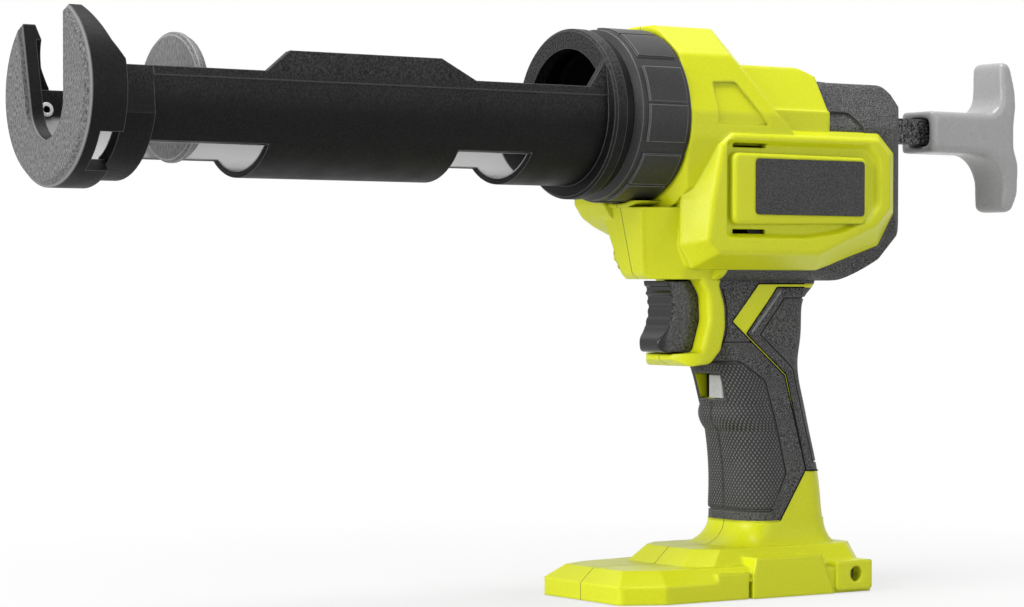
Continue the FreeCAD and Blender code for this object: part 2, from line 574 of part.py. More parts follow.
def gear(teeth, module, x, z, y_range, bore, phase):
    """Spur gear across the tool with involute flanks; phase turns its first tooth from straight up."""
    pitch_r = teeth * module / 2
    tip_r = pitch_r + module * RACK_ADDENDUM
    root_r = pitch_r - module * RACK_DEDENDUM
    base_r = pitch_r * math.cos(math.radians(PRESSURE_ANGLE))
    involute = lambda r: math.sqrt(max(r * r / base_r / base_r - 1, 0)) - math.acos(min(base_r / r, 1))
    at_pitch = math.pi * TOOTH_SHARE / teeth + involute(pitch_r)
    radii = [max(base_r, root_r) + (tip_r - max(base_r, root_r)) * i / 3 for i in range(4)]
    flank = [(r, at_pitch - involute(r)) for r in radii]
    if root_r < base_r:
        flank = [(root_r, flank[0][1])] + flank
    points = []
    for i in range(teeth):
        centre = math.radians(phase) + 2 * math.pi * i / teeth
        for r, half in flank:
            points.append(V(x + r * math.sin(centre - half), y_range[0], z + r * math.cos(centre - half)))
        for r, half in reversed(flank):
            points.append(V(x + r * math.sin(centre + half), y_range[0], z + r * math.cos(centre + half)))
    solid = Part.Face(Part.makePolygon(points + points[:1])).extrude(V(0, y_range[1] - y_range[0], 0))
    return solid.cut(rod_y(x, z, bore, y_range[0], y_range[1]))


def pinion_axis():
    """The drive shaft's place: the pinion's pitch circle touches the rack's pitch line from below."""
    return PINION_X, AXIS_Z - RACK_PITCH_DROP - RACK_MODULE * PINION_TEETH / 2


def idler_axis():
    """The idler's place, one centre distance from the drive shaft."""
    x, z = pinion_axis()
    reach = GEAR_MODULE * (OUTPUT_TEETH + IDLER_TEETH) / 2
    angle = math.radians(IDLER_ANGLE)
    return x + reach * math.cos(angle), z + reach * math.sin(angle)


def motor_axis():
    """The motor's place, one centre distance from the idler."""
    x, z = idler_axis()
    reach = FAST_MODULE * (WHEEL_TEETH + MOTOR_TEETH) / 2
    angle = math.radians(MOTOR_ANGLE)
    return x + reach * math.cos(angle), z + reach * math.sin(angle)


def motor_back_y():
    """The motor can's brush end; its other end stands on the motor plate."""
    return MOTOR_PLATE_Y - MOTOR_LENGTH


def meshing_phase(own, other, own_teeth, other_phase, other_teeth):
    """Phase that puts a gap of the own gear on the line to the other gear, which has a tooth there."""
    to_own = math.degrees(math.atan2(own[0] - other[0], own[1] - other[1]))
    offset = (to_own - other_phase) / (360.0 / other_teeth)
    offset -= math.floor(offset)
    to_other = to_own + 180.0
    return to_other + (offset - 0.5) * 360.0 / own_teeth


def drive_pinion():
    x, z = pinion_axis()
    half = PINION_WIDTH / 2
    return gear(PINION_TEETH, RACK_MODULE, x, z, (-half, half), SHAFT_R, 0.0)


def drive_shaft():
    x, z = pinion_axis()
    return rod_y(x, z, SHAFT_R, -PINION_WIDTH / 2, COVER_Y + PLATE_THICK)


def output_gear():
    """Large gear that a clutch joins to the drive shaft."""
    x, z = pinion_axis()
    return gear(OUTPUT_TEETH, GEAR_MODULE, x, z, OUTPUT_Y, SHAFT_R + RUN, 0.0)


def idler_gear():
    """Compound gear: a small pinion on the output gear and a wheel on the motor pinion, in one piece."""
    x, z = idler_axis()
    phase = meshing_phase(idler_axis(), pinion_axis(), IDLER_TEETH, 0.0, OUTPUT_TEETH)
    small = gear(IDLER_TEETH, GEAR_MODULE, x, z, (OUTPUT_Y[0], WHEEL_Y[0]), IDLER_PIN_R + RUN, phase)
    wheel = gear(WHEEL_TEETH, FAST_MODULE, x, z, WHEEL_Y, IDLER_PIN_R + RUN, 0.0)
    return joined([small, wheel])


def idler_pin():
    x, z = idler_axis()
    return rod_y(x, z, IDLER_PIN_R, MOTOR_PLATE_Y, COVER_Y + PLATE_THICK)


def motor_pinion():
    x, z = motor_axis()
    phase = meshing_phase(motor_axis(), idler_axis(), MOTOR_TEETH, 0.0, WHEEL_TEETH)
    return gear(MOTOR_TEETH, FAST_MODULE, x, z, WHEEL_Y, MOTOR_SHAFT_R, phase)


def motor_shaft():
    x, z = motor_axis()
    return rod_y(x, z, MOTOR_SHAFT_R, motor_back_y() - END_CAP / 2, WHEEL_Y[1] + FIT)


def armature():
    x, z = motor_axis()
    y_range = (motor_back_y() + 2 * MOTOR_WALL, MOTOR_PLATE_Y - 2 * MOTOR_WALL)
    core = rod_y(x, z, ARMATURE_R, *y_range)
    slot_count = 5
    for i in range(slot_count):
        slot = block((x - 0.8, x + 0.8), y_range, (z + ARMATURE_R - 4, z + ARMATURE_R + 1))
        slot.rotate(V(x, 0, z), V(0, 1, 0), 360.0 * i / slot_count)
        core = core.cut(slot)
    return core.cut(rod_y(x, z, MOTOR_SHAFT_R, *y_range))


def motor_can():
    """Steel can, open at the brush end, with a bearing nose at the gear end."""
    x, z = motor_axis()
    can = rod_y(x, z, MOTOR_R, motor_back_y(), MOTOR_PLATE_Y)
    can = can.cut(rod_y(x, z, MOTOR_R - MOTOR_WALL, motor_back_y(), MOTOR_PLATE_Y - MOTOR_WALL))
    return can.cut(rod_y(x, z, MOTOR_SHAFT_R + RUN, motor_back_y(), MOTOR_PLATE_Y))


def motor_end_cap():
    """Plastic brush cap that closes the can."""
    x, z = motor_axis()
    cap = rod_y(x, z, MOTOR_R, motor_back_y() - END_CAP, motor_back_y())
    spigot = rod_y(x, z, MOTOR_R - MOTOR_WALL, motor_back_y(), motor_back_y() + MOTOR_WALL)
    cap = joined([cap, spigot])
    bore_y = motor_back_y()
    return cap.cut(rod_y(x, z, MOTOR_SHAFT_R + RUN, bore_y - END_CAP / 2, bore_y + MOTOR_WALL))


def gear_plate(y_low):
    """Steel plate that carries the shafts."""
    return side_prism(PLATE_SIDE, y_low, y_low + PLATE_THICK)


def motor_plate():
    x, z = pinion_axis()
    mx, mz = motor_axis()
    ix, iz = idler_axis()
    y_range = (MOTOR_PLATE_Y, MOTOR_PLATE_Y + PLATE_THICK)
    plate = gear_plate(MOTOR_PLATE_Y).cut(rod_y(x, z, SHAFT_R + BUSH_WALL, *y_range))
    plate = plate.cut(rod_y(mx, mz, MOTOR_SHAFT_R + FIT, *y_range))
    return plate.cut(rod_y(ix, iz, IDLER_PIN_R, *y_range))


def pillars(y_low, y_high):
    """Round posts at the corners of the gear plates."""
    return [rod_y(x, z, PILLAR_R, y_low, y_high) for x, z in PILLARS]


def gear_cover():
    """Outer gear plate, with the posts that keep it off the motor plate."""
    x, z = pinion_axis()
    ix, iz = idler_axis()
    y_range = (COVER_Y, COVER_Y + PLATE_THICK)
    plate = gear_plate(COVER_Y).cut(rod_y(x, z, SHAFT_R + BUSH_WALL, *y_range))
    plate = plate.cut(rod_y(ix, iz, IDLER_PIN_R, *y_range))
    return joined([plate] + pillars(MOTOR_PLATE_Y + PLATE_THICK, COVER_Y))


def shaft_bushes():
    """Bronze bushes that carry the drive shaft, one in each plate."""
    x, z = pinion_axis()
    rings = []
    for y_low in (MOTOR_PLATE_Y, COVER_Y):
        ring = rod_y(x, z, SHAFT_R + BUSH_WALL, y_low, y_low + PLATE_THICK)
        rings.append(ring.cut(rod_y(x, z, SHAFT_R + RUN, y_low, y_low + PLATE_THICK)))
    return Part.makeCompound(rings)


def plunger_disc():
    """Two stacked steel discs with a rolled edge."""
    mid_x = PLUNGER_FRONT_X + DISC_THICK / 2
    rear_x = PLUNGER_FRONT_X + DISC_THICK
    disc = turned([(PLUNGER_FRONT_X, 0), (PLUNGER_FRONT_X, PLUNGER_R - DISC_RIM), (mid_x, PLUNGER_R),
                   (rear_x, PLUNGER_R), (rear_x + DISC_THICK, PLUNGER_R - DISC_RIM),
                   (rear_x + DISC_THICK, 0)])
    return disc.cut(plunger_screw_core())


def plunger_cone():
    """Plastic backing with four gussets between the disc and the rod's end."""
    front_x = PLUNGER_FRONT_X + 2 * DISC_THICK
    rear_x = front_x + CONE_LENGTH
    hub_r = ROD_WIDTH
    cone = turned([(front_x, 0), (front_x, CONE_R), (front_x + 2, CONE_R), (rear_x, hub_r), (rear_x, 0)])
    return cone.cut(rod_passage(ROD_X[0], rear_x, 0)).cut(plunger_screw_core())


def plunger_screw_core():
    """Shank and head of the screw that holds the disc on the rod."""
    head_x = PLUNGER_FRONT_X - 2.0
    shank = Part.makeCylinder(2.0, ROD_X[0] - head_x, V(head_x, 0, AXIS_Z), V(1, 0, 0))
    head = Part.makeCylinder(4.5, PLUNGER_FRONT_X - head_x, V(head_x, 0, AXIS_Z), V(1, 0, 0))
    return joined([shank, head])


def plunger_screw():
    return plunger_screw_core()


def handle_pin_bar():
    """Cross pin through the rod's rear end and the handle."""
    half = HANDLE_WIDTH / 2 - 1.0
    return rod_y(ROD_X[1] - 5.0, AXIS_Z - 1.0, HANDLE_PIN_R, -half, half)


def pull_handle():
    """T handle: a hollow shaft round the rod's end and a cross bar with arms that narrow outwards."""
    half = HANDLE_WIDTH / 2
    rear_x = max(x for x, z, r in HANDLE_SIDE)
    bar = soft_sides(side_prism(HANDLE_SIDE, -half, half), half, HANDLE_ROUND)
    bar = bar.common(section_prism(HANDLE_BACK, HANDLE_FRONT_X, rear_x))
    low_h = -HANDLE_DROP - HANDLE_SHAFT / 2 + HANDLE_WALL
    high_h = -HANDLE_DROP + HANDLE_SHAFT / 2 - HANDLE_WALL
    inner = half - HANDLE_WALL
    mouth_x = ROD_X[1] - 10
    mouth = [(-inner, low_h, HANDLE_WALL), (inner, low_h, HANDLE_WALL), (inner, high_h, HANDLE_WALL),
             (-inner, high_h, HANDLE_WALL)]
    bar = bar.cut(section_prism(mouth, HANDLE_FRONT_X, mouth_x))
    return bar.cut(rod_passage(mouth_x, ROD_X[1], 0)).cut(handle_pin_bar())


def grip_station(z):
    """Front, back, half width and corner radius of the grip at a height, on curves through its stations."""
    rows = GRIP
    i = next(i for i in range(len(rows) - 1) if rows[i + 1][0] <= z)
    before, start, end, after = rows[max(i - 1, 0)], rows[i], rows[i + 1], rows[min(i + 2, len(rows) - 1)]
    t = (start[0] - z) / (start[0] - end[0])
    span = end[0] - start[0]
    values = []
    for k in range(1, 5):
        slope_a = (end[k] - before[k]) / (end[0] - before[0]) * span
        slope_b = (after[k] - start[k]) / (after[0] - start[0]) * span
        values.append(start[k] * (2 * t ** 3 - 3 * t ** 2 + 1) + end[k] * (3 * t ** 2 - 2 * t ** 3)
                      + slope_a * (t ** 3 - 2 * t ** 2 + t) + slope_b * (t ** 3 - t ** 2))
    return values


def grip_form(inset):
    """Loft through evenly spaced grip stations, drawn in by an inset."""
    wires = []
    z_high, z_low = GRIP[0][0], GRIP[-1][0]
    for i in range(GRIP_LEVELS + 1):
        z = z_low + (z_high - z_low) * i / GRIP_LEVELS
        front, back, half, radius = grip_station(z)
        f, b, h, r = front + inset, back - inset, half - inset, radius - inset
        wires.append(outline([(f, -h, r), (b, -h, r), (b, h, r), (f, h, r)], lambda x, y, z=z: V(x, y, z)))
    return Part.makeLoft(wires, True, False)


def core_form(inset):
    """Middle and rear of the body: side outline, plan with round rear corners, and cross-sections."""
    half = BODY_HALF - inset
    corner = REAR_CORNER - inset
    front_x = CORE_SIDE[0][0]
    rear_x = BODY_REAR_X - inset
    corners = [(front_x, -half, 0), (rear_x, -half, corner), (rear_x, half, corner), (front_x, half, 0)]
    plan = plan_prism(corners, 100.0, 240.0)
    rear = section_prism([(y - math.copysign(inset, y), h - math.copysign(inset, h + 20), r) for y, h, r in
                          CAP_SECTION], front_x, rear_x)
    side = side_prism(inset_side(inset), -half, half)
    return side.common(plan).common(rear)


def inset_side(inset):
    """Core side outline moved inwards: towards the middle height and away from the rear."""
    middle_z = 170.0
    moved = []
    for x, z, radius in CORE_SIDE:
        moved.append((x - inset if x > 80 else x, z - math.copysign(inset, z - middle_z), radius))
    return moved


def pod(side):
    """Tapered pod on one side of the body, from its root on the body to its face."""
    root = Part.makePolygon([V(x, side * POD_ROOT_Y, z) for x, z in POD_ROOT + POD_ROOT[:1]])
    face = Part.makePolygon([V(x, side * POD_FACE_Y, z) for x, z in POD_FACE + POD_FACE[:1]])
    solid = Part.makeLoft([root, face], True, True)
    outer = [e for e in solid.Edges if max(abs(v.Y) for v in e.Vertexes) > POD_FACE_Y - 0.1]
    solid = solid.makeFillet(POD_EDGE_R, outer)
    if side < 0:
        return solid
    return solid.cut(plan_prism(RIGHT_POD_TRIM, solid.BoundBox.ZMin, solid.BoundBox.ZMax))


def pod_face_cut():
    """Sunk panel with sloping walls round the middle plate of the left pod."""
    rim = outline(POD_PANEL, lambda x, z: V(x, -POD_FACE_Y, z))
    bed = outline(POD_PANEL_BED, lambda x, z: V(x, -POD_FACE_Y + POD_PANEL_DEPTH, z))
    panel = Part.makeLoft([rim, bed], True, True)
    return panel.cut(side_prism(POD_PLATE, -POD_FACE_Y, -POD_FACE_Y + POD_PANEL_DEPTH))


def pod_plate():
    """The middle plate of the left pod, with a rounded edge."""
    face_y = -POD_FACE_Y - PLATE_RAISE
    plate = side_prism(POD_PLATE, face_y, -POD_FACE_Y + POD_PANEL_DEPTH)
    return plate.makeFillet(PLATE_ROUND, [e for e in plate.Edges if e.BoundBox.YMax < face_y + 0.01])


def band():
    """Faceted drum over the collar's rear, cut off behind along two slanting planes."""
    drum = section_prism(BAND_SECTION, BODY_FRONT_X, BAND_REAR_X)
    front = turned([(BODY_FRONT_X, 0), (BODY_FRONT_X, COLLAR_R + 2.0), (BODY_FRONT_X + 3.0, COLLAR_R + 6.0),
                    (BAND_REAR_X, COLLAR_R + 6.0), (BAND_REAR_X, 0)])
    drum = drum.common(front)
    drum = drum.cut(half_space(BAND_CUT_POINT, BAND_CUT_NORMAL))
    nx, ny, nz = BAND_CUT_NORMAL
    return drum.cut(half_space(BAND_CUT_POINT, (nx, -ny, nz)))


def band_panel():
    """Shallow sunk panel on the band's left side facet."""
    floor = [(y * BAND_PANEL_SHARE, h * BAND_PANEL_SHARE, r) for y, h, r in BAND_SECTION]
    bed = section_prism(floor, BODY_FRONT_X, BAND_REAR_X)
    return side_prism(BAND_PANEL, -COLLAR_R - 4.0, -BODY_HALF).cut(bed)


def collar_room():
    """The space round the collar, with its pads, up to the body's front."""
    return tube(COLLAR_X[0] - FIT, COLLAR_X[1] + FIT, 0, COLLAR_R + PAD_RAISE + FIT)


def chin():
    """Thin rim of the body under the collar."""
    rim = tube(CHIN_TIP_X, BODY_FRONT_X + WALL, 0, COLLAR_R + PAD_RAISE + FIT + CHIN_RIM)
    lower = block((CHIN_TIP_X, 0), (-CHIN_HALF, CHIN_HALF), (LEDGE_Z, AXIS_Z - COLLAR_R))
    return rim.common(lower).cut(collar_room())


def lobe():
    """Rounded lobe of the right half, beside the trigger housing."""
    return side_prism(LOBE_SIDE, *LOBE_Y).cut(collar_room())


def soft_sides(solid, half, radius):
    """Rounds the edges of a side-view prism all round its two flat sides."""
    return solid.makeFillet(radius, [e for e in solid.Edges if abs(abs(e.BoundBox.Center.y) - half) < 0.01])


def nose_block():
    """Front of the trigger housing, under the chin: narrow below, widening to the pods above."""
    low_z, high_z = NOSE_SIDE[2][1], NOSE_SIDE[0][1]
    cheeks = plan_loft([(NOSE_PLAN_LOW, low_z), (NOSE_PLAN_HIGH, high_z)])
    half = max(y for x, y, r in NOSE_PLAN_HIGH)
    return side_prism(NOSE_SIDE, -half, half).common(cheeks)


def guard():
    """Housing behind and under the trigger."""
    half = GUARD_HALF
    front_x = min(x for x, z, r in GUARD_SIDE) - 1
    rear_x = max(x for x, z, r in GUARD_SIDE) + 1
    corner = GUARD_HALF - GUARD_TIP
    plan = [(front_x, -half, corner), (rear_x, -half, 0), (rear_x, half, 0), (front_x, half, corner)]
    shape = soft_sides(side_prism(GUARD_SIDE, -half, half), half, GUARD_ROUND)
    return shape.common(plan_prism(plan, 80.0, 140.0))


def foot():
    """Battery foot: a bevelled wedge in front, a raised deck, side blocks and the flare up to the grip."""
    lip = plan_prism(FOOT_PLAN, 0, LIP_Z)
    front = lip.common(block((-100, 0), (-FOOT_HALF, FOOT_HALF), (0, LIP_Z)))
    wedge_base = [(-63.5, -26, 0), (-46, -FOOT_HALF, 0), (-8, -FOOT_HALF, 0), (0, -FOOT_HALF, 0),
                  (0, FOOT_HALF, 0), (-8, FOOT_HALF, 0), (-46, FOOT_HALF, 0), (-63.5, 26, 0)]
    wedge = plan_loft([(wedge_base, LIP_Z), (WEDGE_TOP, WEDGE_Z)])
    sides = plan_prism(FOOT_PLAN, 0, SIDE_Z).common(block(SIDE_X, (-FOOT_HALF, FOOT_HALF), (0, SIDE_Z)))
    sides = sides.cut(both(block(NOTCH_X, (FOOT_HALF - NOTCH_DEPTH, FOOT_HALF), (0, SIDE_Z))))
    tail = lip.common(block((0, 100), (-FOOT_HALF, FOOT_HALF), (0, LIP_Z)))
    tail = tail.cut(both(block(NOTCH_X, (FOOT_HALF - NOTCH_DEPTH, FOOT_HALF), (0, SIDE_Z))))
    deck = plan_loft([(STEP_LOW, SIDE_Z - 2), (STEP_HIGH, STEP_Z)])
    side_block = side_prism(BLOCK_SIDE, FOOT_HALF - 2 * NOTCH_DEPTH, FOOT_HALF + SIDE_RAISE)
    tail_block = side_prism(TAIL_SIDE, FOOT_HALF - 2 * NOTCH_DEPTH, FOOT_HALF + TAIL_RAISE)
    core = front.cut(both(block(NOTCH_X, (FOOT_HALF - NOTCH_DEPTH, FOOT_HALF), (0, LIP_Z))))
    return joined([core, wedge, sides, tail, deck, both(side_block), both(tail_block), flare()])


def flare():
    """Sweep from the foot's deck up into the grip, on a quarter ellipse all round."""
    z, front_x, back_x, half, radius = GRIP[-1]
    low_z = STEP_Z - 1
    wires = []
    for i in range(FLARE_LEVELS + 1):
        share = i / FLARE_LEVELS
        spread = 1 - math.sqrt(1 - (1 - share) ** 2)
        grow_x, grow_y = FLARE_X * spread, FLARE_Y * spread
        ahead_x, behind_x, side_y = front_x - grow_x, back_x + FLARE_BACK * spread, half + grow_y
        corners = [(ahead_x, -side_y, radius), (behind_x, -side_y, radius), (behind_x, side_y, radius),
                   (ahead_x, side_y, radius)]
        wires.append(outline(corners, lambda x, y, h=low_z + (FLARE_TOP - low_z) * share: V(x, y, h)))
    return Part.makeLoft(wires, True, False)


def trigger():
    """Curved trigger with a round front and a stem to the switch."""
    half = TRIGGER_HALF
    rear_x = TRIGGER_SIDE[-1][0]
    front_x = min(x for x, z, r in TRIGGER_SIDE) - 1.0
    plan = [(front_x, -half, TRIGGER_ROUND), (rear_x, -half, 0), (rear_x, half, 0),
            (front_x, half, TRIGGER_ROUND)]
    body = side_prism(TRIGGER_SIDE, -half, half).common(plan_prism(plan, 0, AXIS_Z))
    for x, z in TRIGGER_GROOVES:
        body = body.cut(rod_y(x - GROOVE_ROUND, z, GROOVE_ROUND, -half, half))
    stem_end = SWITCH_X[0] - TRIGGER_TRAVEL - FIT
    stem = Part.makeCylinder(STEM_R, stem_end - rear_x, V(rear_x, 0, STEM_Z), V(1, 0, 0))
    return joined([body, stem])


def trigger_space():
    """The slot in the housing that the trigger slides in."""
    half = TRIGGER_HALF + FIT
    low_z = min(z for x, z, r in TRIGGER_SIDE) - FIT
    return block((-60, SWITCH_X[0]), (-half, half), (low_z, TRIGGER_SIDE[0][1] + FIT))


def lock_front_x():
    """Front of the lock button, a little inside the grip's front."""
    middle = (LOCK_Z[0] + LOCK_Z[1]) / 2
    above, below = GRIP[3], GRIP[4]
    share = (above[0] - middle) / (above[0] - below[0])
    return above[1] + (below[1] - above[1]) * share


def lock_button():
    """Cross-slide in the front of the grip that blocks the trigger."""
    x = lock_front_x()
    low_y = -LOCK_HALF + FIT
    tab = block((x + 0.8, x + LOCK_DEPTH), (low_y, low_y + LOCK_WIDTH), (LOCK_Z[0] + FIT, LOCK_Z[1] - FIT))
    tab = tab.makeFillet(0.8, [e for e in tab.Edges if e.BoundBox.XMax < x + 1.0])
    bar = block((x + LOCK_DEPTH - 2, x + LOCK_DEPTH), (low_y, low_y + LOCK_WIDTH),
                (LOCK_Z[0] - 2, LOCK_Z[1] + 2))
    return joined([tab, bar])


def lock_space():
    """Window and slide way of the lock button."""
    x = lock_front_x()
    window = block((x - 10, x + LOCK_DEPTH + FIT), (-LOCK_HALF, LOCK_HALF), LOCK_Z)
    way = block((x + LOCK_DEPTH - 2 - FIT, x + LOCK_DEPTH + FIT), (-LOCK_HALF, LOCK_HALF),
                (LOCK_Z[0] - 2 - FIT, LOCK_Z[1] + 2 + FIT))
    return window.fuse(way)


def socket_space():
    """Battery socket: a mouth in the foot and a shaft up the grip."""
    shaft = block(SOCKET_X, (-SOCKET_HALF, SOCKET_HALF), (0, SOCKET_TOP))
    mouth = block((SOCKET_X[0] - MOUTH_GROW, SOCKET_X[1] + MOUTH_GROW),
                  (-SOCKET_HALF - MOUTH_GROW, SOCKET_HALF + MOUTH_GROW), (0, MOUTH_DEPTH))
    return shaft.fuse(mouth)


def terminal_space():
    """Seat of the terminal block over the socket."""
    return block(SOCKET_X, (-SOCKET_HALF, SOCKET_HALF), (SOCKET_TOP, SOCKET_TOP + TERMINAL_THICK))


def blade(i):
    """One contact blade, from inside the terminal block down into the socket."""
    x = (SOCKET_X[0] + SOCKET_X[1]) / 2
    y = (i - (BLADE_COUNT - 1) / 2) * BLADE_PITCH
    heights = (SOCKET_TOP - BLADE_DROP, SOCKET_TOP + TERMINAL_THICK - 1)
    return block((x - 5, x + 5), (y - 0.5, y + 0.5), heights)


def contact_blades():
    return Part.makeCompound([blade(i) for i in range(BLADE_COUNT)])


def terminal_block():
    seat = terminal_space()
    for i in range(BLADE_COUNT):
        seat = seat.cut(blade(i))
    return seat


def switch_body():
    return block(SWITCH_X, (-SWITCH_HALF, SWITCH_HALF), SWITCH_Z)


def control_board():
    floor_z = SOCKET_TOP + TERMINAL_THICK + WALL
    return block(BOARD_X, (-BOARD_HALF, BOARD_HALF), (floor_z, floor_z + BOARD_HEIGHT))


def screw(x, z, head_y, side):
    """One screw across the tool, its head towards the given side."""
    head = rod_y(x, z, SCREW_HEAD_R, head_y - SCREW_HEAD, head_y)
    shank = rod_y(x, z, SCREW_R, head_y - SCREW_LENGTH, head_y)
    whole = joined([head, shank])
    return whole if side > 0 else mirrored(whole)


def screw_hole(x, z, head_y, side):
    """The screw with the way its head goes in."""
    hole = joined([screw(x, z, head_y, 1), rod_y(x, z, SCREW_HEAD_R, head_y, 2 * FOOT_HALF)])
    return hole if side > 0 else mirrored(hole)


def housing_screws():
    recess = SCREW_HEAD / 2
    screws = []
    for x, z, head_y, side in SCREWS:
        socket = rod_y(x, z, SCREW_R, head_y - recess, head_y)
        screws.append(screw(x, z, head_y, side).cut(socket if side > 0 else mirrored(socket)))
    return Part.makeCompound(screws)


def body_outer():
    """The whole lime and charcoal body, before hollows and soft mouldings are taken out."""
    middle = section_prism(BLOCK_SECTION, *BLOCK_X)
    middle = middle.cut(side_prism(BLOCK_SLOPE, -BODY_HALF, BODY_HALF))
    inner = side_prism(POD_INNER, -POD_ROOT_Y, POD_ROOT_Y)
    return joined([band(), middle, core_form(0), pod(-1), pod(1), inner, chin(), lobe(), nose_block(), guard(),
                   grip_form(0), foot()])


def body_hollow():
    """Everything inside the lime shell."""
    flange_x = BODY_FRONT_X + WALL
    nose = tube(BODY_FRONT_X - 1, flange_x, 0, NOSE_R)
    flange_seat = tube(flange_x, flange_x + FLANGE_THICK, 0, NOSE_R + NOSE_FLANGE)
    drum_room = tube(flange_x + FLANGE_THICK, DRUM_REAR_X, 0, NOSE_R - 1)
    gear_room = side_prism(POD_HOLLOW, -CAVITY_HALF, CAVITY_HALF)
    rod_room = block((flange_x, BODY_REAR_X - SKIN - WALL), (-14, 24), (AXIS_Z - 30, AXIS_Z + 10))
    core_room = side_prism(CORE_HOLLOW, -CORE_HOLLOW_HALF, CORE_HOLLOW_HALF)
    motor_room = rod_y(*motor_axis(), MOTOR_R + FIT, motor_back_y() - END_CAP - FIT, 0)
    guide_seat = rear_guide_block((BODY_REAR_X - SKIN - WALL - GUIDE_THICK, BODY_REAR_X - SKIN - WALL))
    exit_slot = rod_passage(0, BODY_REAR_X + 1, FIT)
    return joined([nose, flange_seat, drum_room, gear_room, rod_room, core_room, motor_room, guide_seat,
                   exit_slot])


def rear_cap_form():
    """Soft moulding round the back: a skin of the core behind the seam, outside the pods."""
    region = side_prism(REAR_SEAM, -60, 60)
    skin = core_form(0).cut(core_form(SKIN)).common(region)
    under_pods = side_prism(POD_ROOT, -POD_ROOT_Y, POD_ROOT_Y)
    front_block = section_prism(BLOCK_SECTION, BLOCK_X[0], 40.0)
    keep_out = joined([pod(-1), pod(1), under_pods, grip_form(0), front_block])
    return largest(skin.cut(keep_out).cut(rod_passage(0, BODY_REAR_X + 1, FIT)))


def cap_recess():
    """Shallow sunk field on the rear cap's sides, over the pods."""
    return side_prism(CAP_RECESS, -60, 60).common(core_form(0).cut(core_form(SEAM_DEPTH)))


def largest(shape):
    """The biggest solid of a result, without the crumbs beside it."""
    return max(shape.Solids, key=lambda s: s.Volume)


def sizeable(shape):
    """The solids of a result, without the crumbs beside them."""
    return Part.makeCompound([s for s in shape.Solids if s.Volume > CRUMB])


def seam_groove(corners):
    """Narrow groove along a side-view outline, just under the grip's surface."""
    face = Part.Face(outline(corners, lambda x, z: V(x, -2 * BODY_HALF, z)))
    line = face.cut(face.makeOffset2D(-SEAM_WIDTH))
    skin = grip_form(0).cut(grip_form(SEAM_DEPTH))
    return line.extrude(V(0, 4 * BODY_HALF, 0)).common(skin)


def sleeve_form():
    """Soft moulding round the grip, apart from the strap and the bare lime chevron."""
    skin = grip_form(0).cut(grip_form(SKIN))
    skin = skin.common(side_prism(SLEEVE_SIDE, -60, 60))
    for neighbour in (guard(), lock_space(), trigger_space(), pod(-1), pod(1)):
        skin = skin.cut(neighbour)
    return sizeable(skin)


def finger_ridge():
    """Low ridge across the front of the grip, under the lock button."""
    wires = []
    for z, reach in FINGER_RIDGE:
        front, back, half, radius = grip_station(z)
        f, b, h = front - reach, back - FINGER_INSET, half - FINGER_INSET
        wires.append(outline([(f, -h, radius), (b, -h, radius), (b, h, radius), (f, h, radius)],
                             lambda x, y, z=z: V(x, y, z)))
    return Part.makeLoft(wires, True, False).cut(grip_form(SKIN / 2))


def strap_form():
    """Soft moulding down the back of the grip."""
    skin = grip_form(0).cut(grip_form(SKIN))
    return largest(skin.common(side_prism(STRAP_SIDE, -60, 60)))


def badge_form():
    """Bare plate let into the left pod's middle plate."""
    outer_y = -POD_FACE_Y - PLATE_RAISE
    return side_prism(BADGE_OUTLINE, outer_y - BADGE_THICK + BADGE_SUNK, outer_y + BADGE_SUNK)


nodes = {}
rear_cap = rear_cap_form()
grip_sleeve = sleeve_form()
backstrap = strap_form()
badge_plate = badge_form()

shell = body_outer()
for soft in (rear_cap, grip_sleeve, backstrap):
    shell = shell.cut(soft)
face_cut = pod_face_cut()
shell = shell.cut(face_cut).cut(mirrored(face_cut))
shell = shell.fuse(both(pod_plate()))
shell = shell.cut(body_hollow())
for hollow in (trigger_space(), lock_space(), socket_space(), terminal_space(), badge_plate):
    shell = shell.cut(hollow)
for spot in SCREWS:
    shell = shell.cut(screw_hole(*spot))
shell = joined([shell] + pillars(COVER_Y + PLATE_THICK, CAVITY_HALF + 1))
for z_range in VENT_Z:
    vent = block(VENT_X, (CAVITY_HALF - 1, POD_FACE_Y + 1), z_range)
    shell = shell.cut(both(vent))
grip_room = grip_form(SKIN + WALL)
grip_room = grip_room.cut(block((-60, 100), (-60, 60), (0, SOCKET_TOP + TERMINAL_THICK + WALL)))
shell = shell.cut(grip_room)
shell = shell.cut(both(band_panel()))

far = 400.0
nodes["left_housing"] = largest(shell.common(block((-far, far), (-far, 0), (-far, far))))
nodes["right_housing"] = largest(shell.common(block((-far, far), (0, far), (-far, far))))
nodes["rear_cap"] = largest(rear_cap.cut(cap_recess()))
grip_sleeve = grip_sleeve.cut(seam_groove(PALM_PANEL)).cut(seam_groove(SLEEVE_STEP))
nodes["grip_sleeve"] = sizeable(grip_sleeve.fuse(finger_ridge()))
nodes["backstrap"] = largest(backstrap.cut(seam_groove(STRAP_PANEL)))
nodes["badge_plate"] = badge_plate
for maker in (cartridge_frame, front_cap, cap_rivets, lock_collar, nose_ring, front_rod_guide, rear_rod_guide,
              push_rod, plunger_disc, plunger_cone, plunger_screw, pull_handle, drive_shaft, drive_pinion,
              output_gear, idler_gear, idler_pin, motor_shaft, motor_pinion, armature, motor_can, motor_end_cap,
              motor_plate, gear_cover, shaft_bushes, trigger, lock_button, switch_body, control_board,
              terminal_block, contact_blades, housing_screws):
    nodes[maker.__name__] = maker()
nodes["handle_pin"] = handle_pin_bar()

os.makedirs("parts", exist_ok=True)
for name, shape in nodes.items():
    shape.exportStep("parts/" + name + ".step")
    print(name, len(shape.Solids), shape.isValid(), round(shape.Volume))
